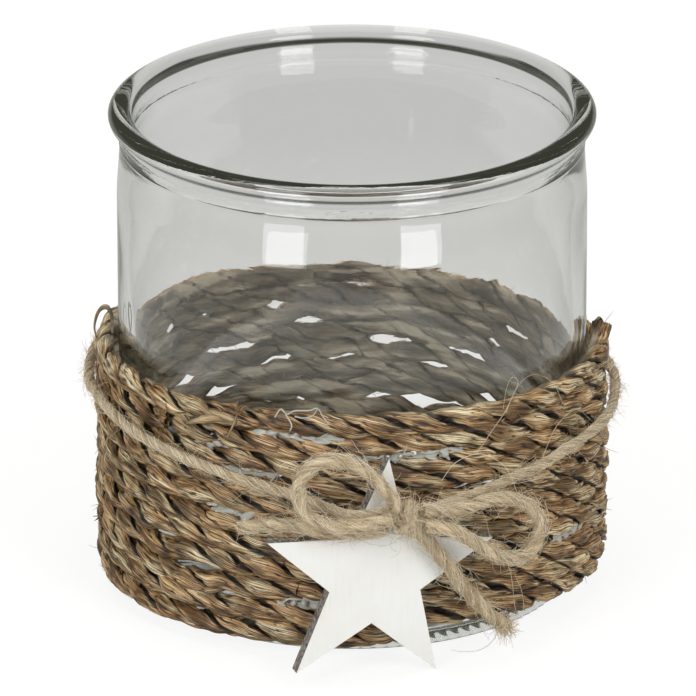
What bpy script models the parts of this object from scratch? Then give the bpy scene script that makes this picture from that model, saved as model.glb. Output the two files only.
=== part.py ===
"""A glass candle holder: a pressed glass jar, its lower half wound in leaf rope, with a
jute bow and a white wooden star in front.

Metres, +Z up. The origin is on the jar's axis, at the level that the jar stands on.
-Y is the front. Angles are in degrees, counted from +X towards +Y.
"""

import math

import bmesh
import bpy
import numpy as np
from mathutils import Matrix, Vector

# Room left between pieces that touch on the real object
SEAT_GAP = 0.0003

# The jar's outside, from the rim down
JAR_HEIGHT = 0.102
BODY_RADIUS = 0.0483
RIM_OVERHANG = 0.0023
RIM_WIDTH = 0.0050
RIM_HEIGHT = 0.0029
RIM_UNDERCUT = 0.0006
NECK_INSET = 0.0006
SEAM_DROP = 0.0076
SEAM_PROUD = 0.00015
SEAM_WIDTH = 0.0005
SHOULDER_DROP = 0.0085
SHOULDER_LENGTH = 0.0110
HEEL_HEIGHT = 0.0125
HEEL_INSET = 0.0028
RING_HEIGHT = 0.0032
RING_WIDTH = 0.0070
RING_EDGE = 0.0006
BASE_RECESS = 0.0005

# Its foot ring is knurled with slanted bars, wide at the root and narrow at the crest
KNURL_COUNT = 108
KNURL_WIDTH = 0.0015
KNURL_CREST_SHARE = 0.4
KNURL_PROUD = 0.0005
KNURL_ROOT = 0.0004
KNURL_LEAN = 0.0016
KNURL_FOOT = 0.0004
KNURL_TOP = 0.0029

# The jar's inside
WALL = 0.0030
FLOOR = 0.0045
INNER_CORNER = 0.0080
JAR_STEPS = 72

# The rope wrap: two lengths on one spiral, which leans towards its high side as it climbs
ROPE_DIAMETER = 0.0038
ROPE_PITCH = 0.00442
WRAP_FOOT = 0.00225
WRAP_START_ANGLE = 150.0
WRAP_LEAN = 0.0019
WRAP_HIGH_SIDE = 235.0
# Right of the star the rows ride up, most at the foot, where they bare the knurled ring
WRAP_LIFT = 0.0032
LIFT_START_ANGLE = 274.0
LIFT_PEAK_ANGLE = 288.0
LIFT_END_ANGLE = 350.0
LOWER_TURNS = 9.20
SPLICE_DEGREES = 5.0
UPPER_TURNS = 1.35
LOOP_POINTS = 24
ROPE_TAIL_RUN = 0.0045
ROPE_TAIL_RISE = 0.0050
END_SHARES = (0.25, 0.5, 0.75, 1.0)

# The jute twine: taut round the wrap, fuller where it hangs slack in the bow
BAND_DIAMETER = 0.0026
BOW_DIAMETER = 0.0030

# The band's route: angle, height, and how far it stands off the wrap as it nears the knot
BAND_ROUTE = (
    (283.1, 0.0354, 0.0053),
    (284.5, 0.0355, 0.0048),
    (289.7, 0.0358, 0.0027),
    (298.0, 0.0366, 0.0014),
    (313.0, 0.0378, 0.0),
    (322.0, 0.0388, 0.0),
    (338.0, 0.0392, 0.0),
    (352.0, 0.0397, 0.0),
    (372.0, 0.0408, 0.0),
    (400.0, 0.0421, 0.0),
    (430.0, 0.0431, 0.0),
    (460.0, 0.0437, 0.0),
    (490.0, 0.0441, 0.0),
    (520.0, 0.0443, 0.0),
    (545.0, 0.0444, 0.0),
    (560.0, 0.0440, 0.0),
    (573.0, 0.0427, 0.0),
    (588.0, 0.0414, 0.0),
    (604.4, 0.0399, 0.0007),
    (614.2, 0.0390, 0.0021),
    (622.9, 0.0379, 0.0051),
    (628.7, 0.0371, 0.0082),
    (632.3, 0.0368, 0.0080),
    (635.0, 0.0367, 0.0072),
    (636.1, 0.0367, 0.0069),
)

# The bow's routes, measured from the knot's middle: across the star's face, up, and out
LEFT_LOOP_ROUTE = (
    (-0.0020, 0.0016, 0.0000),
    (-0.0025, 0.0036, -0.0002),
    (-0.0050, 0.0071, -0.0002),
    (-0.0081, 0.0105, -0.0004),
    (-0.0119, 0.0129, -0.0009),
    (-0.0159, 0.0137, -0.0015),
    (-0.0196, 0.0125, -0.0018),
    (-0.0218, 0.0097, -0.0019),
    (-0.0222, 0.0061, -0.0013),
    (-0.0208, 0.0031, -0.0003),
    (-0.0176, 0.0010, 0.0009),
    (-0.0134, 0.0001, 0.0015),
    (-0.0090, 0.0002, 0.0018),
    (-0.0050, 0.0004, 0.0018),
    (-0.0038, 0.0004, 0.0018),
)
LEFT_TAIL_ROUTE = (
    (-0.0038, -0.0024, -0.0007),
    (-0.0050, -0.0026, -0.0008),
    (-0.0074, -0.0029, -0.0013),
    (-0.0111, -0.0028, -0.0019),
    (-0.0157, -0.0022, -0.0025),
    (-0.0197, -0.0015, -0.0043),
    (-0.0236, -0.0018, -0.0079),
    (-0.0273, -0.0031, -0.0122),
    (-0.0300, -0.0047, -0.0159),
)
RIGHT_LOOP_ROUTE = (
    (0.0037, 0.0010, 0.0003),
    (0.0049, 0.0009, 0.0003),
    (0.0094, -0.0001, -0.0005),
    (0.0136, -0.0004, -0.0014),
    (0.0177, 0.0001, -0.0023),
    (0.0220, -0.0001, -0.0031),
    (0.0257, -0.0014, -0.0036),
    (0.0287, -0.0039, -0.0040),
    (0.0301, -0.0073, -0.0040),
    (0.0293, -0.0105, -0.0034),
    (0.0266, -0.0124, -0.0021),
    (0.0230, -0.0125, -0.0005),
    (0.0190, -0.0107, 0.0009),
    (0.0152, -0.0076, 0.0020),
    (0.0115, -0.0047, 0.0027),
    (0.0081, -0.0027, 0.0027),
    (0.0049, -0.0020, 0.0018),
    (0.0037, -0.0019, 0.0016),
)
RIGHT_TAIL_ROUTE = (
    (0.0020, -0.0018, -0.0005),
    (0.0029, -0.0040, -0.0008),
    (0.0051, -0.0065, -0.0010),
    (0.0076, -0.0099, -0.0014),
    (0.0103, -0.0137, -0.0017),
    (0.0132, -0.0182, -0.0028),
    (0.0168, -0.0227, -0.0038),
    (0.0204, -0.0266, -0.0046),
    (0.0236, -0.0297, -0.0052),
)

# The knot: turns of the twine round the crossing, just clear of the star's face
KNOT_ACROSS = -0.0096
KNOT_HEIGHT = 0.0362
KNOT_TURNS = 1.5
KNOT_PITCH = 0.0036
KNOT_COIL_RADIUS = 0.0021

# The star, which stands off the rope on its glue and faces a little to the right
STAR_RADIUS = 0.0255
STAR_NOTCH_RADIUS = 0.0103
STAR_ARMS = 5
PLY = 0.0030
STAR_STANDOFF = 0.0022
STAR_YAW = 18.7
STAR_LEAN = 6.0
STAR_ACROSS = -0.01445
STAR_HEIGHT = 0.0222

# Hot glue: a pad behind the star, one behind the knot, and beads in the wrap's seams
STAR_GLUE_WIDTH = 0.0080
STAR_GLUE_HEIGHT = 0.0056
STAR_GLUE_REACH_SHARE = 0.58
BOW_GLUE_WIDTH = 0.0044
BOW_GLUE_HEIGHT = 0.0024
BOW_GLUE_DEPTH = 0.0014
BOW_GLUE_DROP = 0.0040
GLUE_BEAD_DIAMETER = 0.0010
GLUE_BEAD_SPACING = 0.0025
# Which seam, counted from the foot, and the angles that the bead runs between
GLUE_BEADS = (
    (10, 249.0, 266.0),
    (9, 233.0, 243.0),
    (9, 268.0, 294.0),
    (8, 243.0, 252.0),
    (6, 238.0, 246.0),
    (2, 254.0, 267.0),
    (3, 322.0, 334.0),
)

ROPE_COLOUR = (0.34, 0.22, 0.12)
JUTE_COLOUR = (0.50, 0.38, 0.22)
STAR_COLOUR = (0.88, 0.87, 0.82)
GLUE_COLOUR = (0.75, 0.76, 0.74)
GLASS_COLOUR = (0.80, 0.83, 0.82)

FULL_TURN = 360.0
MILLIMETRE = 0.001
# How far apart the points of a smooth cord lie, and how near points are made one
BAND_SPACING = 0.0060
LOOP_SPACING = 0.0030
TAIL_SPACING = 0.0045
CURVE_STEPS = 12
MERGE_DISTANCE = 0.00001

# What follows from the sizes above
NECK_RADIUS = BODY_RADIUS - NECK_INSET
RIM_RADIUS = NECK_RADIUS + RIM_OVERHANG
RING_RADIUS = BODY_RADIUS - HEEL_INSET
BASE_RADIUS = RING_RADIUS - RING_WIDTH
SEAM_HEIGHT = JAR_HEIGHT - SEAM_DROP
SHOULDER_TOP = JAR_HEIGHT - SHOULDER_DROP
SHOULDER_BOTTOM = SHOULDER_TOP - SHOULDER_LENGTH
ROPE_RADIUS = ROPE_DIAMETER / 2
# A loop of straight steps cuts inside its circle, so its points stand out by this share
CHORD_SHARE = 1 / math.cos(math.pi / LOOP_POINTS)
ROPE_PATH_RADIUS = (BODY_RADIUS + SEAT_GAP + ROPE_RADIUS) * CHORD_SHARE
WRAP_RADIUS = ROPE_PATH_RADIUS + ROPE_RADIUS
BAND_PATH_RADIUS = WRAP_RADIUS + SEAT_GAP + BAND_DIAMETER / 2
STAR_BACK = WRAP_RADIUS + STAR_STANDOFF
STAR_FRONT = STAR_BACK + PLY
KNOT_REACH = KNOT_COIL_RADIUS * CHORD_SHARE + BOW_DIAMETER / 2
KNOT_DEPTH = STAR_FRONT + SEAT_GAP + KNOT_REACH
UPPER_START = LOWER_TURNS * FULL_TURN + SPLICE_DEGREES

PIECES = bpy.data.collections.new("glass_candle_holder")
CUTTERS = bpy.data.collections.new("cutters")


def clear_scene():
    for old in list(bpy.data.objects):
        bpy.data.objects.remove(old)
    for group in (PIECES, CUTTERS):
        bpy.context.scene.collection.children.link(group)
    CUTTERS.hide_render = True


def finish(piece, colour, roughness, transmission=0.0):
    """Gives the piece its own material and puts it in the object's collection."""
    material = bpy.data.materials.new(piece.name)
    material.use_nodes = True
    shader = material.node_tree.nodes["Principled BSDF"]
    shader.inputs["Base Color"].default_value = (*colour, 1.0)
    shader.inputs["Roughness"].default_value = roughness
    shader.inputs["Metallic"].default_value = 0.0
    shader.inputs["Transmission Weight"].default_value = transmission
    piece.data.materials.append(material)
    PIECES.objects.link(piece)
    return piece


def arc(centre, radii, start, end, steps):
    """Points of an ellipse's arc, from one angle to the other."""
    for step in range(steps + 1):
        angle = math.radians(start + (end - start) * step / steps)
        yield (
            centre[0] + radii[0] * math.cos(angle),
            centre[1] + radii[1] * math.sin(angle),
        )


def jar_profile():
    """The jar's section, from the middle of its floor up the inside and down the outside."""
    inner = BODY_RADIUS - WALL
    mouth = RIM_RADIUS - RIM_WIDTH
    rim_centre = (RIM_RADIUS - RIM_WIDTH / 2, JAR_HEIGHT - RIM_HEIGHT / 2)
    rim_radii = (RIM_WIDTH / 2, RIM_HEIGHT / 2)
    heel = (RING_RADIUS, HEEL_HEIGHT)
    points = [(0.0, FLOOR)]
    corner = (inner - INNER_CORNER, FLOOR + INNER_CORNER)
    points += arc(corner, (INNER_CORNER, INNER_CORNER), -90, 0, 6)
    points += [(inner, SHOULDER_BOTTOM), (mouth, SHOULDER_TOP)]
    points += arc(rim_centre, rim_radii, 180, -80, 12)
    points += [
        (NECK_RADIUS, JAR_HEIGHT - RIM_HEIGHT - RIM_UNDERCUT),
        (NECK_RADIUS, SEAM_HEIGHT + SEAM_WIDTH / 2),
        (NECK_RADIUS + SEAM_PROUD, SEAM_HEIGHT),
        (NECK_RADIUS, SEAM_HEIGHT - SEAM_WIDTH / 2),
        (NECK_RADIUS, SHOULDER_TOP),
    ]
    shoulder_middle = (SHOULDER_TOP + SHOULDER_BOTTOM) / 2
    points += [
        ((NECK_RADIUS + BODY_RADIUS) / 2, shoulder_middle),
        (BODY_RADIUS, SHOULDER_BOTTOM),
    ]
    heel_radii = (BODY_RADIUS - RING_RADIUS, HEEL_HEIGHT - RING_HEIGHT)
    points += arc(heel, heel_radii, 0, -75, 5)
    edge = (RING_RADIUS - RING_EDGE, RING_EDGE)
    points += [(RING_RADIUS, RING_HEIGHT)]
    points += arc(edge, (RING_EDGE, RING_EDGE), 0, -90, 3)
    points += [
        (BASE_RADIUS, 0.0),
        (BASE_RADIUS - BASE_RECESS, BASE_RECESS),
        (0.0, BASE_RECESS),
    ]
    return points


def turned(name, profile, steps):
    """A solid of revolution about Z, from a profile in the XZ plane."""
    mesh = bpy.data.meshes.new(name)
    shape = bmesh.new()
    corners = [shape.verts.new((radius, 0.0, height)) for radius, height in profile]
    for first, second in zip(corners, corners[1:]):
        shape.edges.new((first, second))
    shape.to_mesh(mesh)
    shape.free()
    piece = bpy.data.objects.new(name, mesh)
    screw = piece.modifiers.new("turn", "SCREW")
    screw.steps = steps
    screw.render_steps = steps
    screw.use_merge_vertices = True
    screw.merge_threshold = MERGE_DISTANCE
    screw.use_smooth_shade = True
    return piece


def knurl_corners(turn):
    """The eight corners of one bar of the knurl: its root in the glass and its crest outside."""
    for height, lean in ((KNURL_FOOT, -KNURL_LEAN / 2), (KNURL_TOP, KNURL_LEAN / 2)):
        root = (RING_RADIUS - KNURL_ROOT, KNURL_WIDTH)
        crest = (RING_RADIUS + KNURL_PROUD, KNURL_WIDTH * KNURL_CREST_SHARE)
        for radius, width in (root, crest):
            for edge in (-width / 2, width / 2):
                angle = turn + (lean + edge) / RING_RADIUS
                yield (radius * math.cos(angle), radius * math.sin(angle), height)


def knurl_ring():
    """All the bars as one mesh, to be joined to the jar."""
    mesh = bpy.data.meshes.new("knurl_bars")
    shape = bmesh.new()
    for index in range(KNURL_COUNT):
        turn = math.tau * index / KNURL_COUNT
        corners = [shape.verts.new(corner) for corner in knurl_corners(turn)]
        bmesh.ops.convex_hull(shape, input=corners)
    shape.to_mesh(mesh)
    shape.free()
    bars = bpy.data.objects.new("knurl_bars", mesh)
    bars.display_type = "WIRE"
    bars.hide_render = True
    CUTTERS.objects.link(bars)
    return bars


def make_jar():
    jar = turned("glass_jar", jar_profile(), JAR_STEPS)
    knurl = jar.modifiers.new("knurl", "BOOLEAN")
    knurl.operation = "UNION"
    knurl.solver = "EXACT"
    knurl.object = knurl_ring()
    return finish(jar, GLASS_COLOUR, 0.03, transmission=1.0)


def smooth_route(points, spacing):
    """Points at about this spacing along a smooth curve through the route's own points."""
    route = np.array(points)
    before = 2 * route[0] - route[1]
    after = 2 * route[-1] - route[-2]
    held = np.vstack([before, route, after])
    fine = []
    for index in range(1, len(held) - 2):
        p0, p1, p2, p3 = held[index - 1 : index + 3]
        for t in np.arange(CURVE_STEPS) / CURVE_STEPS:
            bend = 2 * p0 - 5 * p1 + 4 * p2 - p3
            twist = 3 * p1 - p0 - 3 * p2 + p3
            fine.append(p1 + ((p2 - p0) * t + bend * t**2 + twist * t**3) / 2)
    fine.append(route[-1])
    fine = np.array(fine)
    run = np.concatenate([[0], np.cumsum(np.linalg.norm(np.diff(fine, axis=0), axis=1))])
    count = max(2, round(run[-1] / spacing))
    at = np.linspace(0, run[-1], count + 1)
    return np.stack([np.interp(at, run, fine[:, axis]) for axis in range(3)], axis=1)


def tube(name, points, diameter, resolution):
    """A round cord along these points, as a curve with a bevel and closed ends."""
    curve = bpy.data.curves.new(name, "CURVE")
    curve.dimensions = "3D"
    curve.bevel_depth = diameter / 2
    curve.bevel_resolution = resolution
    curve.use_fill_caps = True
    spline = curve.splines.new("POLY")
    spline.points.add(len(points) - 1)
    for corner, point in zip(spline.points, points):
        corner.co = (*point, 1.0)
    spline.use_smooth = True
    return bpy.data.objects.new(name, curve)


def as_mesh(piece):
    """The curve's tube as a mesh object of the same name, its caps joined to its sides."""
    name = piece.name
    PIECES.objects.link(piece)
    graph = bpy.context.evaluated_depsgraph_get()
    mesh = bpy.data.meshes.new_from_object(piece.evaluated_get(graph))
    shape = bmesh.new()
    shape.from_mesh(mesh)
    bmesh.ops.remove_doubles(shape, verts=shape.verts, dist=MERGE_DISTANCE)
    bmesh.ops.recalc_face_normals(shape, faces=shape.faces)
    shape.to_mesh(mesh)
    shape.free()
    solid = bpy.data.objects.new(name + "_solid", mesh)
    solid.matrix_world = piece.matrix_world
    bpy.data.objects.remove(piece)
    solid.name = name
    mesh.name = name
    return solid


def least_gap(points, diameter, skip):
    """The least room between a cord's turns, measured on its points and their neighbours."""
    points = np.array(points)
    apart = np.linalg.norm(points[:, None] - points[None], axis=2)
    index = np.arange(len(points))
    apart[np.abs(index[:, None] - index[None]) < skip] = np.inf
    return apart.min() - diameter


def lift_share(angle):
    """How much of the lift the rows have at this angle: they rise fast and sink slowly."""
    place = angle % FULL_TURN
    if place < LIFT_PEAK_ANGLE:
        share = (place - LIFT_START_ANGLE) / (LIFT_PEAK_ANGLE - LIFT_START_ANGLE)
    else:
        share = (LIFT_END_ANGLE - place) / (LIFT_END_ANGLE - LIFT_PEAK_ANGLE)
    share = max(share, 0.0)
    return share * share * (3 - 2 * share)


def wrap_point(wound):
    """A point on the rope's spiral, this many degrees of winding from its start."""
    angle = WRAP_START_ANGLE + wound
    turns = wound / FULL_TURN
    whole = LOWER_TURNS + UPPER_TURNS
    lean = WRAP_LEAN * turns / whole * math.cos(math.radians(angle - WRAP_HIGH_SIDE))
    lift = WRAP_LIFT * lift_share(angle) * (1 - turns / whole)
    height = WRAP_FOOT + ROPE_RADIUS + ROPE_PITCH * turns + lean + lift
    turn = math.radians(angle)
    return Vector((ROPE_PATH_RADIUS * math.cos(turn), ROPE_PATH_RADIUS * math.sin(turn), height))


def wound_points(start, end):
    """The spiral's points between two amounts of winding, at equal steps."""
    count = round((end - start) / FULL_TURN * LOOP_POINTS)
    return [wrap_point(start + (end - start) * step / count) for step in range(count + 1)]


def turned_up(last, along):
    """The rope's end: a quarter turn from its way along the wrap to straight up."""
    for share in END_SHARES:
        angle = share * math.pi / 2
        run = ROPE_TAIL_RUN * math.sin(angle)
        rise = ROPE_TAIL_RISE * (1 - math.cos(angle))
        yield last + along * run + Vector((0.0, 0.0, rise))


def make_ropes():
    """The two lengths of rope. The upper one's end turns up beside the glass."""
    lower = wound_points(0.0, LOWER_TURNS * FULL_TURN)
    upper = wound_points(UPPER_START, UPPER_START + UPPER_TURNS * FULL_TURN)
    upper += turned_up(upper[-1], (upper[-1] - upper[-2]).normalized())
    for name, points in (("rope_lower_length", lower), ("rope_upper_length", upper)):
        gap = least_gap(points, ROPE_DIAMETER, LOOP_POINTS // 2)
        print(f"{name}: least gap to itself {gap / MILLIMETRE:.2f} mm")
        finish(tube(name, points, ROPE_DIAMETER, 1), ROPE_COLOUR, 0.75)


def round_wrap(angle, height, off):
    """A point of the band: on the rope, or this far off it."""
    turn = math.radians(angle)
    reach = BAND_PATH_RADIUS + off
    return (reach * math.cos(turn), reach * math.sin(turn), height)


def star_frame():
    """The star's axes: across its face, up, and out of its face."""
    yaw = math.radians(STAR_YAW)
    across = Vector((math.cos(yaw), math.sin(yaw), 0.0))
    outward = Vector((math.sin(yaw), -math.cos(yaw), 0.0))
    return across, Vector((0.0, 0.0, 1.0)), outward


def in_star_frame(across, height, depth):
    """The turn and place of something that lies parallel to the star's face."""
    x, z, y = star_frame()
    place = x * across + z * height + y * depth
    turn = Matrix((x, z, y)).transposed().to_4x4()
    return Matrix.Translation(place) @ turn


def make_star():
    """A flat five-pointed outline, as thick as the plywood."""
    curve = bpy.data.curves.new("star", "CURVE")
    curve.dimensions = "2D"
    curve.fill_mode = "BOTH"
    curve.extrude = PLY / 2
    spline = curve.splines.new("POLY")
    spline.points.add(2 * STAR_ARMS - 1)
    for index, corner in enumerate(spline.points):
        radius = STAR_NOTCH_RADIUS if index % 2 else STAR_RADIUS
        angle = math.pi * index / STAR_ARMS + math.radians(STAR_LEAN)
        corner.co = (radius * math.sin(angle), radius * math.cos(angle), 0.0, 1.0)
    spline.use_cyclic_u = True
    star = bpy.data.objects.new("star", curve)
    star.matrix_world = in_star_frame(STAR_ACROSS, STAR_HEIGHT, STAR_BACK + PLY / 2)
    finish(star, STAR_COLOUR, 0.6)


def dab(name, place, width, height, depth):
    """A flattened drop of glue, parallel to the star's face."""
    mesh = bpy.data.meshes.new(name)
    shape = bmesh.new()
    bmesh.ops.create_uvsphere(shape, u_segments=16, v_segments=8, radius=1.0)
    size = Matrix.Diagonal((width / 2, height / 2, depth / 2, 1.0))
    bmesh.ops.transform(shape, matrix=size, verts=shape.verts)
    shape.to_mesh(mesh)
    shape.free()
    mesh.shade_smooth()
    piece = bpy.data.objects.new(name, mesh)
    piece.matrix_world = in_star_frame(*place)
    return finish(piece, GLUE_COLOUR, 0.25, transmission=0.5)


def make_glue_pads():
    """Behind the star's right arm, and under the knot on the star's face."""
    arm = math.tau / STAR_ARMS + math.radians(STAR_LEAN)
    reach = STAR_RADIUS * STAR_GLUE_REACH_SHARE
    across = STAR_ACROSS + reach * math.sin(arm)
    height = STAR_HEIGHT + reach * math.cos(arm)
    place = (across, height, STAR_BACK - STAR_STANDOFF / 2)
    dab("star_glue", place, STAR_GLUE_WIDTH, STAR_GLUE_HEIGHT, STAR_STANDOFF - 2 * SEAT_GAP)
    depth = STAR_FRONT + SEAT_GAP + BOW_GLUE_DEPTH / 2
    place = (KNOT_ACROSS, KNOT_HEIGHT - BOW_GLUE_DROP, depth)
    dab("bow_glue", place, BOW_GLUE_WIDTH, BOW_GLUE_HEIGHT, BOW_GLUE_DEPTH)


def seam_point(seam, angle):
    """A point in the groove above this row of rope, just clear of both rows."""
    wound = (angle - WRAP_START_ANGLE) % FULL_TURN + FULL_TURN * (seam - 1)
    below = wrap_point(wound)
    above = wrap_point(wound + FULL_TURN)
    middle = (below + above) / 2
    reach = ROPE_RADIUS + SEAT_GAP + GLUE_BEAD_DIAMETER / 2
    out = math.sqrt(max(0.0, reach**2 - ((above - below).length / 2) ** 2))
    return middle + Vector((middle.x, middle.y, 0.0)).normalized() * out


def make_glue_beads():
    """Hot glue that was squeezed out between the rows, one bead a seam."""
    for number, (seam, start, end) in enumerate(GLUE_BEADS, 1):
        length = math.radians(end - start) * ROPE_PATH_RADIUS
        steps = max(2, round(length / GLUE_BEAD_SPACING))
        angles = [start + (end - start) * step / steps for step in range(steps + 1)]
        points = [seam_point(seam, angle) for angle in angles]
        finish(tube(f"glue_bead_{number}", points, GLUE_BEAD_DIAMETER, 1), GLUE_COLOUR, 0.25, 0.5)


def knot_centre():
    across, up, outward = star_frame()
    return across * KNOT_ACROSS + up * KNOT_HEIGHT + outward * KNOT_DEPTH


def knot_room():
    """The space that the knot fills, a little larger, to trim the cords that enter it."""
    mesh = bpy.data.meshes.new("knot_room")
    shape = bmesh.new()
    reach = KNOT_REACH + SEAT_GAP
    length = KNOT_TURNS * KNOT_PITCH + BOW_DIAMETER + 2 * SEAT_GAP
    bmesh.ops.create_cone(
        shape, cap_ends=True, segments=LOOP_POINTS, radius1=reach, radius2=reach, depth=length
    )
    shape.to_mesh(mesh)
    shape.free()
    cutter = bpy.data.objects.new("knot_room", mesh)
    across, up, outward = star_frame()
    turn = Matrix((up, outward, across)).transposed().to_4x4()
    cutter.matrix_world = Matrix.Translation(knot_centre()) @ turn
    cutter.display_type = "WIRE"
    cutter.hide_render = True
    CUTTERS.objects.link(cutter)
    return cutter


def make_knot():
    """The twine's turns round the crossing, on an axis across the front."""
    across, up, outward = star_frame()
    centre = knot_centre()
    count = round(KNOT_TURNS * LOOP_POINTS)
    points = []
    for step in range(count + 1):
        share = step / count
        angle = math.tau * KNOT_TURNS * (share - 0.5)
        along = KNOT_PITCH * KNOT_TURNS * (share - 0.5)
        reach = KNOT_COIL_RADIUS * CHORD_SHARE
        ring = outward * math.cos(angle) * reach + up * math.sin(angle) * reach
        points.append(centre + across * along + ring)
    gap = least_gap(points, BOW_DIAMETER, LOOP_POINTS // 2)
    print(f"bow_knot: least gap to itself {gap / MILLIMETRE:.2f} mm")
    finish(tube("bow_knot", points, BOW_DIAMETER, 1), JUTE_COLOUR, 0.9)


def from_knot(route):
    """A route measured from the knot's middle, as points in space."""
    across, up, outward = star_frame()
    return [knot_centre() + across * x + up * z + outward * y for x, z, y in route]


def make_twine():
    """The band, the knot and the bow's four cords, each trimmed where it meets the knot."""
    make_knot()
    cutter = knot_room()
    band = [round_wrap(*place) for place in BAND_ROUTE]
    cords = (
        ("twine_band", band, BAND_SPACING, BAND_DIAMETER),
        ("bow_left_loop", from_knot(LEFT_LOOP_ROUTE), LOOP_SPACING, BOW_DIAMETER),
        ("bow_left_tail", from_knot(LEFT_TAIL_ROUTE), TAIL_SPACING, BOW_DIAMETER),
        ("bow_right_loop", from_knot(RIGHT_LOOP_ROUTE), LOOP_SPACING, BOW_DIAMETER),
        ("bow_right_tail", from_knot(RIGHT_TAIL_ROUTE), TAIL_SPACING, BOW_DIAMETER),
    )
    for name, route, spacing, diameter in cords:
        cord = as_mesh(tube(name, smooth_route(route, spacing), diameter, 2))
        trim = cord.modifiers.new("trim", "BOOLEAN")
        trim.operation = "DIFFERENCE"
        trim.solver = "EXACT"
        trim.object = cutter
        finish(cord, JUTE_COLOUR, 0.9)


clear_scene()
make_jar()
make_ropes()
make_star()
make_glue_pads()
make_glue_beads()
make_twine()
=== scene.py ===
# %% [markdown]
# # A glass candle holder in a rope wrap
# A pressed glass jar, its lower half wound in rope that was twisted from dried leaves. A white
# wooden star hangs in front, under a bow of jute twine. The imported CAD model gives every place
# and size; what follows builds each piece's looks over it.

import math
from functools import partial

import bmesh
import bpy
import numpy as np
from mathutils import Matrix, Vector


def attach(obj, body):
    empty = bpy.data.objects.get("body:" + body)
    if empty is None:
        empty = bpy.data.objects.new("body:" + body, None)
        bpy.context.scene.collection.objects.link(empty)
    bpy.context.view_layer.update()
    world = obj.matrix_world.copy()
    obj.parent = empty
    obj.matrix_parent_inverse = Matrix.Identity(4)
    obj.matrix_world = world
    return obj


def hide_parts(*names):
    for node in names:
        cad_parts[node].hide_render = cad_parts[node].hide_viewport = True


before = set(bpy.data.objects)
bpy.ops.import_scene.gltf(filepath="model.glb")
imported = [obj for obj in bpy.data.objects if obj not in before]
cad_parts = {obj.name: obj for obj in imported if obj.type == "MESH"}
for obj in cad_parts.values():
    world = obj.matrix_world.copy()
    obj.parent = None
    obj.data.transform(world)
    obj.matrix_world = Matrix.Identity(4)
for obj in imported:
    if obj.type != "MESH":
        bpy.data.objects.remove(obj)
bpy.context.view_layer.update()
print("CAD pieces:", len(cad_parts))
MM = 0.001

# %% [markdown]
# ## Helpers
# A material and a Geometry Nodes tree are both graphs, so one function adds a node to either.
# It draws in the tree that was opened last: its settings are the node's own switches, and its
# links fill the inputs, each with a value or with another node's output.

# %% Helpers for nodes
open_tree = None  # the node tree that add() draws in


def draw_in(tree):
    global open_tree
    open_tree = tree


def fill(node, links):
    """Fills a node's inputs, each by name or number, with a value or another node's output."""
    for key, value in dict(links).items():
        if isinstance(value, bpy.types.NodeSocket):
            open_tree.links.new(value, node.inputs[key])
        else:
            node.inputs[key].default_value = value


def add(kind, links=(), out=0, **settings):
    """Adds a node to the open tree and gives one of its outputs, the first unless out says which."""
    prefixes = "ShaderNode", "GeometryNode", "FunctionNode"
    made = open_tree.nodes.new(next(p + kind for p in prefixes if hasattr(bpy.types, p + kind)))
    for setting, value in settings.items():
        setattr(made, setting, value)
    fill(made, links)
    return made.outputs[out]


def maths(operation, a, b=0.0, c=0.0):
    links = {0: a, 1: b, 2: c} if operation == "MULTIPLY_ADD" else {0: a, 1: b}
    return add("Math", links, operation=operation)


plus, minus, times, over = (partial(maths, name) for name in ("ADD", "SUBTRACT", "MULTIPLY", "DIVIDE"))


def vectors(operation, a, b=None, scale=None):
    links = {0: a}
    if b is not None:
        links[1] = b
    if scale is not None:
        links["Scale"] = scale
    number = operation in ("LENGTH", "DOT_PRODUCT")
    return add("VectorMath", links, "Value" if number else 0, operation=operation)


def xyz(x, y, z):
    return add("CombineXYZ", {0: x, 1: y, 2: z})


def split(vector):
    return add("SeparateXYZ", {0: vector}).node.outputs


def noise(place, detail, scale=1.0, roughness=0.5, out="Fac"):
    """A Noise Texture, about 0.5, that changes over one unit of place divided by the scale."""
    return add("TexNoise", {"Vector": place, "Scale": scale, "Detail": detail, "Roughness": roughness}, out)


def linear(hex_colour):
    """An sRGB hex colour as Blender's linear RGBA."""
    parts = [int(hex_colour[i : i + 2], 16) / 255 for i in (1, 3, 5)]
    return (*[p / 12.92 if p <= 0.04045 else ((p + 0.055) / 1.055) ** 2.4 for p in parts], 1.0)


def ramp(factor, *stops):
    """A Color Ramp through these (place, hex colour) stops."""
    made = add("ValToRGB", {"Fac": factor})
    elements = made.node.color_ramp.elements
    while len(elements) < len(stops):
        elements.new(0.5)
    for element, (place, colour) in zip(elements, stops):
        element.position, element.color = place, linear(colour)
    return made


def blend(factor, a, b, kind="MIX"):
    return add("Mix", {0: factor, 6: a, 7: b}, 2, data_type="RGBA", blend_type=kind)


def average(share, a, b):
    """Two numbers mixed, with this share of the second."""
    return add("Mix", {"Factor": share, "A": a, "B": b}, data_type="FLOAT")


def bump(height, depth, strength=1.0):
    return add("Bump", {"Strength": strength, "Distance": depth, "Height": height})


def attribute(name, out="Fac"):
    return add("Attribute", out=out, attribute_name=name)


def new_material(name, **plain):
    """A Principled material, whose tree is now open, and its shader. plain fills the shader's inputs."""
    material = bpy.data.materials.new(name)
    material.use_nodes = True
    draw_in(material.node_tree)
    shader = material.node_tree.nodes["Principled BSDF"]
    fill(shader, {socket.replace("_", " "): value for socket, value in plain.items()})
    return material, shader


def glow(colour, strength=1.0):
    return add("Emission", {"Color": colour, "Strength": strength})


def choose(share, usual, other):
    """A shader for the rays where share is 0, and another where it is 1."""
    return add("MixShader", {0: share, 1: usual, 2: other})


def show(shader, output="Material Output"):
    fill(open_tree.nodes[output], {"Surface": shader})


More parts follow.
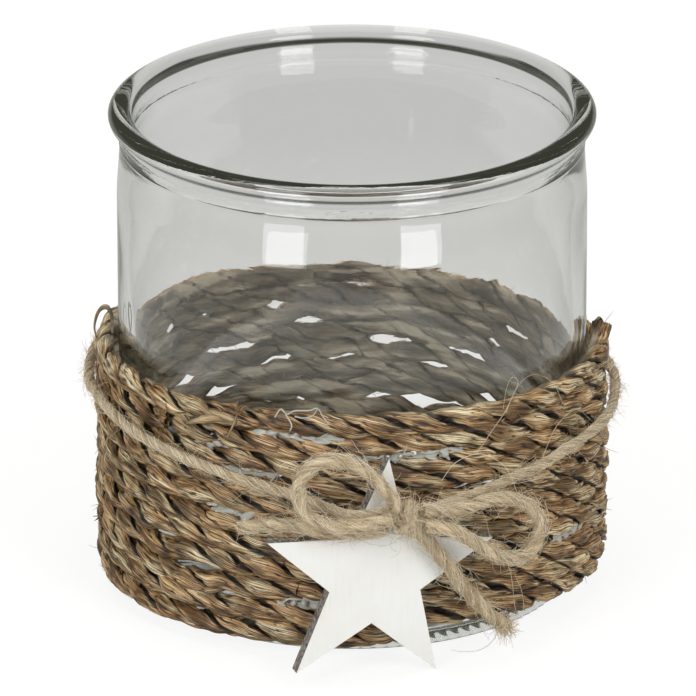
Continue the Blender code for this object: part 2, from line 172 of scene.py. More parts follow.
# %% Helpers for meshes
def put(name, data):
    """An object of this name in the scene."""
    piece = bpy.data.objects.new(name, data)
    bpy.context.scene.collection.objects.link(piece)
    return piece


def mesh_piece(name, points, faces, material, smooth=True):
    """An object from points and faces, given in the row frame."""
    mesh = bpy.data.meshes.new(name)
    mesh.from_pydata(np.asarray(points, float).tolist(), [], faces)
    mesh.update()
    mesh.materials.append(material)
    if smooth:
        mesh.shade_smooth()
    return put(name, mesh)


def mark(mesh, label, values):
    """Stores a number or a vector on each point of a mesh, for its material to read."""
    values = np.asarray(values, float)
    kind, field = ("FLOAT_VECTOR", "vector") if values.ndim == 2 else ("FLOAT", "value")
    mesh.attributes.new(label, kind, "POINT").data.foreach_set(field, values.ravel())


def with_modifiers(name, holder):
    """The holder's mesh as its modifiers leave it, in an object of its own. The holder goes."""
    graph = bpy.context.evaluated_depsgraph_get()
    mesh = bpy.data.meshes.new_from_object(holder.evaluated_get(graph), depsgraph=graph)
    mesh.name = name
    holder.modifiers.clear()
    bpy.data.objects.remove(holder)
    return put(name, mesh)


def ring_faces(rings, around, closed=False):
    """Quads between rings of points, each ring joined to the next."""
    last = rings if closed else rings - 1
    faces = []
    for i in range(last):
        this, other = i * around, (i + 1) % rings * around
        for j in range(around):
            after = (j + 1) % around
            faces.append((this + j, this + after, other + after, other + j))
    return faces


def face_outwards(mesh):
    """Turns the faces of a closed mesh round if it is inside out."""
    shell = bmesh.new()
    shell.from_mesh(mesh)
    if shell.calc_volume(signed=True) < 0:
        bmesh.ops.reverse_faces(shell, faces=shell.faces)
        shell.to_mesh(mesh)
    shell.free()


# %% Helpers for paths
STEPS_BETWEEN = 12
RANDOM_NUMBERS = 4096


def smooth_route(points, spacing):
    """Points at about this spacing along a smooth curve through the route's own points."""
    route = np.array(points, float)
    held = np.vstack([2 * route[0] - route[1], route, 2 * route[-1] - route[-2]])
    fine = []
    for p0, p1, p2, p3 in zip(held, held[1:], held[2:], held[3:]):
        for t in np.arange(STEPS_BETWEEN) / STEPS_BETWEEN:
            bend = 2 * p0 - 5 * p1 + 4 * p2 - p3
            twist = 3 * p1 - p0 - 3 * p2 + p3
            fine.append(p1 + ((p2 - p0) * t + bend * t**2 + twist * t**3) / 2)
    fine = np.array([*fine, route[-1]])
    run = np.concatenate([[0], np.cumsum(np.linalg.norm(np.diff(fine, axis=0), axis=1))])
    at = np.linspace(0, run[-1], max(2, round(run[-1] / spacing)) + 1)
    return np.stack([np.interp(at, run, fine[:, axis]) for axis in range(3)], axis=1)


def route_in_mm(route, spacing):
    return smooth_route(np.array(route, float) * MM, spacing)


def unit(ways):
    """Each of these vectors at length 1."""
    return ways / np.linalg.norm(ways, axis=1)[:, None]


def path_length(points):
    return float(np.linalg.norm(np.diff(points, axis=0), axis=1).sum())


def drift(at, wave, seed):
    """Smooth random numbers about 0, one for each place, that change over one wave."""
    numbers = np.random.default_rng(seed).normal(size=RANDOM_NUMBERS)
    place = np.asarray(at, float) / wave + 17
    low = np.floor(place).astype(int)
    share = place - low
    share = share * share * (3 - 2 * share)
    return numbers[low % RANDOM_NUMBERS] * (1 - share) + numbers[(low + 1) % RANDOM_NUMBERS] * share


# %% [markdown]
# ## The camera
# The photograph was taken from far off with a long lens, about 22 degrees above the table, so the
# rim's ellipse and the foot's have nearly the same shape. The camera stands 2 m away, aimed a
# little left of the jar's middle and below it.

# %% Camera
SENSOR_MM = 36.0
LENS_MM = 500.8
CAMERA_DISTANCE = 2.0
CAMERA_RISE = math.radians(21.6)
AIM_RIGHT, AIM_UP = -0.86 * MM, -1.63 * MM

towards_camera = Vector((0, -math.cos(CAMERA_RISE), math.sin(CAMERA_RISE)))
image_up = Vector((0, math.sin(CAMERA_RISE), math.cos(CAMERA_RISE)))
aim = Vector((AIM_RIGHT, 0, 50 * MM)) + image_up * AIM_UP
lens = bpy.data.cameras.new("camera")
lens.lens, lens.sensor_width = LENS_MM, SENSOR_MM
lens.clip_start, lens.clip_end = 0.1, 20
camera = put("camera", lens)
camera.location = aim + towards_camera * CAMERA_DISTANCE
camera.rotation_euler = towards_camera.to_track_quat("Z", "Y").to_euler()
bpy.context.scene.camera = camera
bpy.context.scene.view_settings.view_transform = "Standard"
print("camera at", [round(x, 3) for x in camera.location])

# %% [markdown]
# ## The twine's routes
# The cords lie where the CAD solids lie. The bow's routes are measured from the knot's middle,
# across the star's face, up, and out of it. The band's are an angle round the jar, a height, and
# how far it stands off the rope.

# %% Routes, repeated from the part's source
BAND_PATH_RADIUS = 54.436 * MM
STAR_YAW = math.radians(18.7)
ACROSS = np.array([math.cos(STAR_YAW), math.sin(STAR_YAW), 0])
UP = np.array([0, 0, 1.0])
OUTWARD = np.array([math.sin(STAR_YAW), -math.cos(STAR_YAW), 0])
KNOT = ACROSS * -9.6 * MM + UP * 36.2 * MM + OUTWARD * 61.954 * MM

# In millimetres
LEFT_LOOP = (
    (-2.0, 1.6, 0.0), (-2.5, 3.6, -0.2), (-5.0, 7.1, -0.2), (-8.1, 10.5, -0.4), (-11.9, 12.9, -0.9),
    (-15.9, 13.7, -1.5), (-19.6, 12.5, -1.8), (-21.8, 9.7, -1.9), (-22.2, 6.1, -1.3),
    (-20.8, 3.1, -0.3), (-17.6, 1.0, 0.9), (-13.4, 0.1, 1.5), (-9.0, 0.2, 1.8), (-5.0, 0.4, 1.8),
    (-3.8, 0.4, 1.8),
)
LEFT_TAIL = (
    (-3.8, -2.4, -0.7), (-5.0, -2.6, -0.8), (-7.4, -2.9, -1.3), (-11.1, -2.8, -1.9),
    (-15.7, -2.2, -2.5), (-19.7, -1.5, -4.3), (-23.6, -1.8, -7.9), (-27.3, -3.1, -12.2),
    (-30.0, -4.7, -15.9),
)
RIGHT_LOOP = (
    (3.7, 1.0, 0.3), (4.9, 0.9, 0.3), (9.4, -0.1, -0.5), (13.6, -0.4, -1.4), (17.7, 0.1, -2.3),
    (22.0, -0.1, -3.1), (25.7, -1.4, -3.6), (28.7, -3.9, -4.0), (30.1, -7.3, -4.0),
    (29.3, -10.5, -3.4), (26.6, -12.4, -2.1), (23.0, -12.5, -0.5), (19.0, -10.7, 0.9),
    (15.2, -7.6, 2.0), (11.5, -4.7, 2.7), (8.1, -2.7, 2.7), (4.9, -2.0, 1.8), (3.7, -1.9, 1.6),
)
RIGHT_TAIL = (
    (2.0, -1.8, -0.5), (2.9, -4.0, -0.8), (5.1, -6.5, -1.0), (7.6, -9.9, -1.4),
    (10.3, -13.7, -1.7), (13.2, -18.2, -2.8), (16.8, -22.7, -3.8), (20.4, -26.6, -4.6),
    (23.6, -29.7, -5.2),
)
# Degrees, then millimetres
BAND = (
    (283.1, 35.4, 5.3), (284.5, 35.5, 4.8), (289.7, 35.8, 2.7), (298.0, 36.6, 1.4),
    (313.0, 37.8, 0.0), (322.0, 38.8, 0.0), (338.0, 39.2, 0.0), (352.0, 39.7, 0.0),
    (372.0, 40.8, 0.0), (400.0, 42.1, 0.0), (430.0, 43.1, 0.0), (460.0, 43.7, 0.0),
    (490.0, 44.1, 0.0), (520.0, 44.3, 0.0), (545.0, 44.4, 0.0), (560.0, 44.0, 0.0),
    (573.0, 42.7, 0.0), (588.0, 41.4, 0.0), (604.4, 39.9, 0.7), (614.2, 39.0, 2.1),
    (622.9, 37.9, 5.1), (628.7, 37.1, 8.2), (632.3, 36.8, 8.0), (635.0, 36.7, 7.2),
    (636.1, 36.7, 6.9),
)


def from_knot(route):
    return [KNOT + (ACROSS * x + UP * z + OUTWARD * y) * MM for x, z, y in route]


def round_wrap(route):
    turned = [(math.radians(a), z * MM, BAND_PATH_RADIUS + off * MM) for a, z, off in route]
    return [(r * math.cos(a), r * math.sin(a), z) for a, z, r in turned]


TWINE_STEP = 0.5 * MM
routes = {
    "bow_left_loop": from_knot(LEFT_LOOP), "bow_left_tail": from_knot(LEFT_TAIL),
    "bow_right_loop": from_knot(RIGHT_LOOP), "bow_right_tail": from_knot(RIGHT_TAIL),
    "twine_band": round_wrap(BAND),
}
paths = {name: smooth_route(route, TWINE_STEP) for name, route in routes.items()}
for name, path in paths.items():
    print(f"{name}: {path_length(path) / MM:.1f} mm")

# %% [markdown]
# ## Jute, and leaf rope
# Both are twisted goods, so both materials read the attribute `lay` that the cord's own node
# tree leaves on each point: two numbers that say where on the section it is, and one that says
# how far along. A pattern that is fine round the section and long along it follows the twist.
#
# Jute is a bast fibre, retted and spun: pale straw, matt and hairy. Its fibres are about 0.1 mm
# thick, drawn here a little thicker, because the render can't show them.

# %% Jute twine
def strand_noise(lay, around, along, offset=0.0, detail=3.0):
    """Noise that is this fine round a strand's section and this long along it, in metres."""
    spread = vectors("MULTIPLY", lay, (1 / around, 1 / around, 1 / along))
    return noise(vectors("ADD", spread, (offset, offset, offset)), detail, roughness=0.6)


def jute_material(name, dark, middle, light):
    material, shader = new_material(name, Roughness=0.85, IOR=1.53, Sheen_Weight=0.2, Sheen_Roughness=0.6)
    lay = attribute("lay", "Vector")
    fibres = strand_noise(lay, 0.16, 4 * MM)
    patches = strand_noise(lay, 0.9, 7 * MM, offset=31.0, detail=1.0)
    colour = ramp(average(0.3, fibres, patches), (0.36, dark), (0.46, middle), (0.60, light))
    # Painted shade in the groove between the two strands, darker where a strand faces inward
    groove_shade = ramp(attribute("facing"), (0.0, "#6f5d42"), (0.45, "#d9cfbe"), (0.7, "#ffffff"))
    colour = blend(0.55, colour, groove_shade, "MULTIPLY")
    fill(shader, {"Base Color": colour, "Normal": bump(fibres, 0.2 * MM)})
    return material


jute = jute_material("spun_jute", "#8a7250", "#c9b085", "#f0e0c0")
band_jute = jute_material("spun_jute_of_the_band", "#857150", "#bda781", "#e6d5b4")

# %% [markdown]
# The fuzz is single jute fibres, each one colour, painted a little brighter than the yarn, as
# painted light that comes through them.

# %% Loose fibres
def plain_fibre(name, dark, light):
    material, shader = new_material(name, Roughness=0.7, IOR=1.53)
    each = add("NewGeometry", out="Random Per Island")
    fill(shader, {"Base Color": ramp(each, (0.0, dark), (1.0, light))})
    return material


jute_fibre = plain_fibre("loose_jute_fibre", "#bda478", "#fbf1da")
leaf_fibre = plain_fibre("torn_leaf_edge", "#5a4228", "#a98557")

# %% [markdown]
# Dried leaf, of water hyacinth or banana bark, is rolled and twisted while it is damp. It dries
# tan to brown with long creases and a faint gloss. Where one strand goes under the next, the
# colour is painted nearly black as painted shade, and the slits and folds get painted shade too.
# Each showing lobe of a strand is another stretch of leaf, so the tone changes every 10 mm or so
# and differs between the two strands.

# %% Leaf rope
# Between these distances from the jar's axis the rope's colour turns to the painted grey haze of the glass's
# reflections
HAZE_FROM, HAZE_WHOLLY = 51.2 * MM, 50.0 * MM  # from the jar's axis


def leaf_colour(lay, creases):
    """Tan leaf, with random darker patches and fibre lines, and painted shade in its slits, its folds and the groove
    between the strands, multiplied into it.
    """
    lobe = strand_noise(lay, 3.0, 10 * MM, detail=1.0)
    blotches = strand_noise(lay, 0.8, 5 * MM, offset=12.0)
    colour = ramp(
        average(0.5, lobe, blotches),
        (0.34, "#9a7850"), (0.43, "#d2ab78"), (0.50, "#f2d09e"), (0.57, "#fff0c8"), (0.66, "#f8ebc8"),
    )
    darker = strand_noise(lay, 2.2, 6 * MM, offset=44.0, detail=1.0)
    fibres = strand_noise(lay, 0.09, 18 * MM, offset=70.0, detail=2.0)
    slit = maths("ABSOLUTE", minus(creases, 0.5))
    for strength, layer in (
        (0.9, ramp(darker, (0.36, "#92826b"), (0.44, "#d2c7b6"), (0.52, "#ffffff"))),
        (0.9, ramp(fibres, (0.42, "#8f7e66"), (0.49, "#ffffff"))),
        # Painted shade in the fine slits where the leaf is folded, and in the deep folds that the cord's tree presses
        # in
        (0.9, ramp(slit, (0.0, "#120a04"), (0.020, "#54432f"), (0.042, "#f2ece3"), (0.2, "#ffffff"))),
        (0.9, ramp(attribute("crease"), (0.0, "#150d05"), (0.18, "#6b5a44"), (0.45, "#ffffff"))),
        # Painted shade in the groove between the two strands
        (0.95, ramp(attribute("facing"), (0.16, "#050301"), (0.29, "#33281e"), (0.41, "#ffffff"))),
    ):
        colour = blend(strength, colour, layer, "MULTIPLY")
    return colour


def leaf_material(name):
    material, shader = new_material(name, Roughness=0.48, IOR=1.5)
    lay = attribute("lay", "Vector")
    creases = strand_noise(lay, 0.20, 14 * MM, offset=5.0)
    leaf = leaf_colour(lay, creases)
    # The side that lies on the glass is pressed flat, and its colour there is painted a patchy grey, a painted haze
    # standing in for the glass's reflections over it
    place = add("TexCoord", out="Object")
    from_axis = vectors("LENGTH", vectors("MULTIPLY", place, (1, 1, 0)))
    pressed = add("MapRange", {
        "Value": from_axis, "From Min": HAZE_FROM, "From Max": HAZE_WHOLLY, "To Min": 0.0, "To Max": 0.88,
    })
    patch = noise(vectors("MULTIPLY", place, (70, 70, 380)), 2.0)
    grey = ramp(patch, (0.36, "#2f2a1a"), (0.46, "#595240"), (0.54, "#736b57"), (0.62, "#a8a08b"))
    fill(shader, {"Base Color": blend(pressed, leaf, grey), "Normal": bump(creases, 0.3 * MM)})
    return material


dried_leaf = leaf_material("twisted_dried_leaf")

# %% [markdown]
# ## Geometry Nodes
# The cords, the fuzz and the thin threads are grown by Geometry Nodes trees. What one step of a
# tree has to tell a later step is kept on the points under a name, and forgotten at the end.

# %% Helpers for Geometry Nodes
VECTOR = "FLOAT_VECTOR"


def new_tree(name, inputs, numbers):
    """An empty Geometry Nodes tree, now open, and the outputs that its inputs arrive by."""
    tree = bpy.data.node_groups.new(name, "GeometryNodeTree")
    for label, kind in (*inputs.items(), *[(number, "Float") for number in numbers]):
        tree.interface.new_socket(label, in_out="INPUT", socket_type="NodeSocket" + kind)
    tree.interface.new_socket("Geometry", in_out="OUTPUT", socket_type="NodeSocketGeometry")
    draw_in(tree)
    return tree.nodes.new("NodeGroupInput").outputs


def named(label, kind="FLOAT"):
    return add("InputNamedAttribute", {"Name": label}, data_type=kind)


def keep(geometry, label, value):
    """Stores this value on each point under this name."""
    kind = VECTOR if value.type == "VECTOR" else "FLOAT"
    return add(
        "StoreNamedAttribute", {"Geometry": geometry, "Name": label, 3: value}, data_type=kind, domain="POINT"
    )


def forget(geometry, *labels):
    for label in labels:
        geometry = add("RemoveAttribute", {"Geometry": geometry, "Name": label})
    return geometry


def sweep(line, points_around, radius, scale, keep_spot=False):
    """A round section carried along a line, and scaled on its way."""
    circle = add("CurvePrimitiveCircle", {"Resolution": points_around, "Radius": radius})
    if keep_spot:
        circle = keep(circle, "spot", add("InputPosition"))
    return add("CurveToMesh", {"Curve": line, "Profile Curve": circle, "Scale": scale, "Fill Caps": True})


def finished(mesh, finish):
    """Ends the open tree with this mesh, smooth and in its material."""
    mesh = add("SetShadeSmooth", {"Geometry": mesh})
    mesh = add("RealizeInstances", {"Geometry": mesh})
    mesh = add("SetMaterial", {"Geometry": mesh, "Material": finish})
    fill(open_tree.nodes.new("NodeGroupOutput"), {"Geometry": mesh})
    return open_tree


# %% [markdown]
# ## One tree for every twisted cord
# A cord is strands that wind round one middle line. The tree lays each strand's own line first,
# as a helix round the path, and then sweeps a section along it that does not turn with the
# helix. That is how twisted goods look: a strand's fibres run along the strand, not round the
# cord. The tree then flattens each strand against its neighbour and presses creases into it.
# The leaf rope, the twine and the single fibres on the twine differ only in their sizes.

# %% The twisted cord's node tree
SWAY_WAVE, SWELL_WAVE = 6 * MM, 5 * MM
FOLD_SHARPNESS = 13.0


def twisted_cord_tree():
    given = new_tree(
        "twisted_cord",
        {"Path": "Geometry", "Upright": "Bool", "Strands": "Int", "Points around": "Int",
         "Finish": "Material", "Squash": "Vector"},
        ("Step", "Strand radius", "Strand offset", "Lay length", "Start", "Flatness", "Wander",
         "Crease depth", "Crease width", "Crease length", "Unevenness", "Seed"),
    )
    seed, squash = given["Seed"], given["Squash"]

    # The middle line, and what each of its points has to remember
    line = add("MeshToCurve", {"Mesh": given["Path"]})
    line = add("ResampleCurve", {"Curve": line, "Length": given["Step"]}, mode="LENGTH")
    upright = add("SetCurveNormal", {"Curve": line}, mode="Z_UP")
    line = add("Switch", {0: given["Upright"], 1: line, 2: upright}, input_type="GEOMETRY")
    here = add("InputPosition")
    line = keep(line, "along", plus(add("SplineParameter", out="Length"), given["Start"]))
    line = keep(line, "middle", here)
    line = keep(line, "beside", add("InputNormal"))
    line = keep(line, "ahead", add("InputTangent"))

    # One helix for each strand, which sways off its true place now and then
    line = add("DuplicateElements", {"Geometry": line, "Amount": given["Strands"]}, domain="SPLINE")
    line = keep(line, "strand", line.node.outputs[1])
    far, strand = named("along"), named("strand")
    turns = plus(over(far, given["Lay length"]), over(strand, given["Strands"]))
    whim = noise(xyz(times(far, 1 / SWAY_WAVE), times(strand, 7.7), seed), 1.0, out="Color")
    whims = split(vectors("SUBTRACT", whim, (0.5, 0.5, 0.5)))
    sway = times(whims[0], given["Wander"])
    angle = maths("MULTIPLY_ADD", turns, math.tau, plus(sway, seed))
    beside = named("beside", VECTOR)
    above = vectors("CROSS_PRODUCT", named("ahead", VECTOR), beside)
    part = vectors("SCALE", beside, scale=maths("COSINE", angle))
    other = vectors("SCALE", above, scale=maths("SINE", angle))
    line = keep(line, "outward", vectors("ADD", part, other))
    outward, middle = named("outward", VECTOR), named("middle", VECTOR)
    loose = maths("MULTIPLY_ADD", times(whims[1], given["Wander"]), 0.8, 1.0)
    reach = times(given["Strand offset"], loose)
    away = vectors("MULTIPLY", vectors("SCALE", outward, scale=reach), squash)
    line = add("SetPosition", {"Geometry": line, "Position": vectors("ADD", middle, away)})
    line = keep(line, "middle", here)
    body = sweep(line, given["Points around"], 1.0, given["Strand radius"], keep_spot=True)

    # Folds: each strand reads the noise at a place of its own
    spots = split(named("spot", VECTOR))
    lay = xyz(maths("MULTIPLY_ADD", strand, 9.0, spots[0]), spots[1], far)
    fine, long = over(1.0, given["Crease width"]), over(1.0, given["Crease length"])
    fold_place = vectors("MULTIPLY", lay, xyz(fine, fine, long))
    folding = noise(vectors("ADD", fold_place, xyz(seed, seed, seed)), 1.5)
    fold = maths("MINIMUM", times(maths("ABSOLUTE", minus(folding, 0.5)), FOLD_SHARPNESS), 1.0)
    pressed = times(minus(fold, 1.0), given["Crease depth"])
    swell = noise(xyz(times(far, 1 / SWELL_WAVE), times(strand, 5.3), seed), 1.0)
    swollen = maths("MULTIPLY_ADD", minus(swell, 0.5), given["Unevenness"], 1.0)

    # The strand's skin: flattened towards the cord's middle, swollen, and creased
    from_middle = vectors("SUBTRACT", here, middle)
    dot = vectors("DOT_PRODUCT", from_middle, outward)
    lost = times(dot, minus(given["Flatness"], 1.0))
    flat = vectors("MULTIPLY", vectors("ADD", from_middle, vectors("SCALE", outward, scale=lost)), squash)
    dent = vectors("SCALE", add("InputNormal"), scale=pressed)
    skin = vectors("ADD", vectors("ADD", middle, vectors("SCALE", flat, scale=swollen)), dent)
    body = keep(body, "lay", lay)
    # The fold, and how far each point faces away from the other strand, are kept for the materials, which paint shade
    # into the folds and the groove
    body = keep(body, "crease", fold)
    body = keep(body, "facing", maths("MULTIPLY_ADD", over(dot, given["Strand radius"]), 0.5, 0.5))
    body = add("SetPosition", {"Geometry": body, "Position": skin})
    body = forget(body, "along", "middle", "spot", "beside", "ahead", "strand", "outward")
    return finished(body, given["Finish"])


twisted_cord = twisted_cord_tree()


# %% Run a tree on a path or a mesh
def grow(tree, name, source, **sizes):
    """The tree's result on this mesh, as a plain object of its own."""
    holder = put(name + "_source", source)
    modifier = holder.modifiers.new(tree.name, "NODES")
    modifier.node_group = tree
    wanted = {key.replace("_", " "): value for key, value in sizes.items()}
    for socket in tree.interface.items_tree:
        if socket.in_out == "INPUT" and socket.name in wanted:
            modifier[socket.identifier] = wanted.pop(socket.name)
    assert not wanted, wanted
    piece = with_modifiers(name, holder)
    print(f"{name}: {len(piece.data.vertices)} points")
    return piece


def line_mesh(*lines):
    """A mesh of nothing but edges along these lines."""
    edges, first = [], 0
    for line in lines:
        edges += [(first + i, first + i + 1) for i in range(len(line) - 1)]
        first += len(line)
    mesh = bpy.data.meshes.new("lines")
    mesh.from_pydata(np.vstack(lines).tolist(), edges, [])
    return mesh


# %% [markdown]
# ## The bow and the band
# Two-strand twine, 3 mm thick where it is slack in the bow and a little thinner where the band is
# pulled taut. A lay length of about four diameters is what such twine has.

# %% Twist the twine
BOW_DIAMETER = 3.0 * MM
BAND_DIAMETER = 2.6 * MM
TWINE_LAY = 4.2  # diameters
KNOT_TURNS = 1.5
KNOT_PITCH = 3.6 * MM
KNOT_RADIUS = 2.1 * MM


def knot_path():
    share = np.linspace(-0.5, 0.5, 60)[:, None]
    angle = math.tau * KNOT_TURNS * share
    ring = OUTWARD * np.cos(angle) + UP * np.sin(angle)
    return KNOT + ACROSS * KNOT_PITCH * KNOT_TURNS * share + ring * KNOT_RADIUS


paths["bow_knot"] = knot_path()
twine = {}
furred = {}
for number, (name, path) in enumerate(paths.items()):
    of_band = name == "twine_band"
    thick = BAND_DIAMETER if of_band else BOW_DIAMETER
    shared = dict(
        Upright=of_band, Lay_length=thick * TWINE_LAY, Squash=(1.0, 1.0, 1.0), Start=0.0, Seed=number * 1.7,
        Crease_width=0.5, Crease_length=4 * MM,
    )
    twine[name] = grow(
        twisted_cord, name + "_yarn", line_mesh(path), **shared,
        Step=0.4 * MM, Strands=2, Points_around=16, Finish=band_jute if of_band else jute,
        Strand_radius=thick * (0.27 if of_band else 0.31), Strand_offset=thick * 0.15, Flatness=0.9,
        Wander=0.6, Crease_depth=0.10 * MM, Unevenness=0.5,
    )
    furred[name + "_wound"] = grow(
        twisted_cord, name + "_wound_fibres", line_mesh(path), **shared,
        Step=0.7 * MM, Strands=30, Points_around=3, Finish=jute_fibre, Strand_radius=0.075 * MM,
        Strand_offset=thick * (0.36 if of_band else 0.41), Flatness=1.0, Wander=1.6, Crease_depth=0.0,
        Unevenness=0.0,
    )

# %% [markdown]
# ## Fuzz
# Loose fibre ends stand out of the twine everywhere. The tree scatters points on the yarn, plants
# a straight fibre on each, bends it with a noise field and gives it three sides.

# %% The fuzz's node tree
def fuzz_tree():
    given = new_tree(
        "fuzz", {"Cord": "Geometry", "Seed": "Int", "Finish": "Material"},
        ("Density", "Fibre length", "Fibre radius", "Lift", "Curl", "Curl scale"),
    )
    seed = given["Seed"]
    roots = add("DistributePointsOnFaces", {"Mesh": given["Cord"], "Density": given["Density"], "Seed": seed})
    planted = keep(roots, "whim", add("RandomValue", {2: 0.0, 3: 90.0, "Seed": seed}, 1, data_type="FLOAT"))
    anywhere = add("RandomValue", {0: (-1, -1, -1), 1: (1, 1, 1), "Seed": seed}, data_type=VECTOR)
    lifted = vectors("SCALE", roots.node.outputs["Normal"], scale=given["Lift"])
    turn = add("AlignRotationToVector", {"Vector": vectors("ADD", lifted, anywhere)}, axis="Z")
    # Squared, so that most fibres are short
    size = add("RandomValue", {2: 0.15, 3: 1.0, "Seed": 5}, 1, data_type="FLOAT")
    size = times(times(size, size), given["Fibre length"])
    fibre = add("CurvePrimitiveLine", {"Start": (0, 0, 0), "End": (0, 0, 1)})
    fibre = add("ResampleCurve", {"Curve": fibre, "Count": 9}, mode="COUNT")
    grown = add("InstanceOnPoints", {"Points": planted, "Instance": fibre, "Rotation": turn, "Scale": size})
    grown = add("RealizeInstances", {"Geometry": grown})
    # Each fibre reads a noise field of its own, and bends more the further it is from its root
    field = add(
        "TexNoise",
        {"Vector": add("InputPosition"), "W": named("whim"), "Scale": given["Curl scale"], "Detail": 1.0},
        "Color", noise_dimensions="4D",
    )
    factor = add("SplineParameter")
    bend = vectors("SUBTRACT", field, (0.5, 0.5, 0.5))
    bend = vectors("SCALE", bend, scale=times(factor, given["Curl"]))
    grown = add("SetPosition", {"Geometry": grown, "Offset": bend})
    thin = maths("MULTIPLY_ADD", factor, -0.6, 1.0)
    hair = sweep(grown, 3, given["Fibre radius"], thin)
    return finished(forget(hair, "whim"), given["Finish"])


fuzz = fuzz_tree()

# %% A tree that sweeps a thin round section along lines
def thread_tree():
    given = new_tree(
        "thread", {"Lines": "Geometry", "Finish": "Material", "Points around": "Int"}, ("Radius", "Taper")
    )
    line = add("MeshToCurve", {"Mesh": given["Lines"]})
    thin = minus(1.0, times(add("SplineParameter"), given["Taper"]))
    hair = sweep(line, given["Points around"], 1.0, times(thin, given["Radius"]))
    return finished(hair, given["Finish"])


thread = thread_tree()


def threads(name, lines, radius, finish, taper=0.5, around=3):
    """One object from many thin round lines."""
    return grow(
        thread, name, line_mesh(*lines), Radius=radius, Finish=finish, Taper=taper, Points_around=around
    )


def curly(start, way, length, curl, seed, steps=14):
    """A line that sets off this way and bends as it goes."""
    chance = np.random.default_rng(seed)
    way = np.asarray(way, float) / np.linalg.norm(way)
    bend = chance.normal(size=3)
    points = [np.asarray(start, float)]
    for _ in range(steps):
        bend = bend * 0.8 + chance.normal(size=3) * 0.6
        way = way + bend * curl
        way = way / np.linalg.norm(way)
        points.append(points[-1] + way * length / steps)
    return np.array(points)


# %% Grow the fuzz
PER_SQUARE_MM = 1e6
for number, (name, yarn) in enumerate(twine.items()):
    furred[name + "_short"] = grow(
        fuzz, name + "_short_fuzz", yarn.data.copy(), Density=1.3 * PER_SQUARE_MM, Seed=number,
        Fibre_length=3.2 * MM, Fibre_radius=0.045 * MM, Lift=0.5, Curl=3 * MM, Curl_scale=300.0,
        Finish=jute_fibre,
    )

# %% [markdown]
# Longer fibres keep to the cord for a while and then wander off it, which is what makes jute look
# hairy: most stay within a millimetre, and a few stand well clear.

# %% Fibres that wander off the cord
HAIR_STEPS = 8, 26  # of the path, fewest and most
HAIR_REACH, REACH_SHARES = (0.7, 1.6, 3.8), (0.55, 0.3, 0.15)  # millimetres, and how common each is
HAIR_SWAY = 0.012 * MM


def halo(path, thick, per_mm, seed):
    """Lines that run round and along this path and end a little way off it."""
    chance = np.random.default_rng(seed)
    ahead = unit(np.gradient(path, axis=0))
    beside = unit(np.cross(ahead, (0.31, 0.22, 0.92)))
    above = np.cross(ahead, beside)
    lines = []
    for _ in range(round(path_length(path) / MM * per_mm)):
        count = int(chance.integers(*HAIR_STEPS))
        if count >= len(path) - 2:
            continue
        first = int(chance.integers(0, len(path) - count))
        where = np.arange(first, first + count)[:: int(chance.choice((1, -1)))]
        share = np.linspace(0, 1, count)
        reach = chance.choice(HAIR_REACH, p=REACH_SHARES) * MM * chance.uniform(0.4, 1)
        out = thick * 0.38 + reach * share ** 2
        turn = chance.uniform(0, math.tau) + chance.uniform(-2.5, 2.5) * share
        turn = turn + np.cumsum(chance.normal(size=count)) * 0.10
        off = np.cumsum(np.cumsum(chance.normal(size=(count, 3)), axis=0), axis=0) * HAIR_SWAY
        ring = beside[where] * np.cos(turn)[:, None] + above[where] * np.sin(turn)[:, None]
        lines.append(path[where] + ring * out[:, None] + off)
    return lines


for number, (name, path) in enumerate(paths.items()):
    of_band = name == "twine_band"
    thick, per_mm = (BAND_DIAMETER * 0.85, 1.8) if of_band else (BOW_DIAMETER, 5.0)
    lines = halo(path, thick, per_mm, 70 + number)
    furred[name + "_halo"] = threads(name + "_loose_fibres", lines, 0.065 * MM, jute_fibre)

# %% [markdown]
# The tails end in a brush of untwisted fibres, and the knot has a mess of them. A few long
# single fibres have come away and lie over the rope and the glass.

# %% Frayed ends, the knot's tuft and stray fibres
def brush(path, length, spread, count, seed):
    """Fibres that carry on past a path's end and spread."""
    chance = np.random.default_rng(seed)
    ahead = path[-1] - path[-6]
    ahead = ahead / np.linalg.norm(ahead)
    lines = []
    for number in range(count):
        root = path[-1] - ahead * 1.8 * MM + chance.normal(size=3) * 0.6 * MM
        way = ahead + chance.normal(size=3) * spread
        lines.append(curly(root, way, length * chance.uniform(0.5, 1.2), 0.16, seed * 1000 + number))
    return lines


brushes = {
    "bow_left_tail": brush(paths["bow_left_tail"], length=1.5 * MM, spread=0.22, count=180, seed=3),
    "bow_right_tail": brush(paths["bow_right_tail"], length=4.2 * MM, spread=0.30, count=170, seed=4),
}
for name, lines in brushes.items():
    furred[name + "_end"] = threads(name + "_frayed_end", lines, 0.08 * MM, jute_fibre)

KNOT_HAIRS = 110
chance = np.random.default_rng(11)
tuft = []
for number in range(KNOT_HAIRS):
    start = KNOT + ACROSS * chance.normal() * 3 * MM + UP * chance.normal() * 1.6 * MM + OUTWARD * 2.0 * MM
    way = ACROSS * chance.normal() + UP * chance.normal() + OUTWARD * 0.5
    tuft.append(curly(start, way, chance.uniform(4, 11) * MM, 0.30, 500 + number, steps=18))
furred["bow_knot_tuft"] = threads("bow_knot_tuft", tuft, 0.06 * MM, jute_fibre)

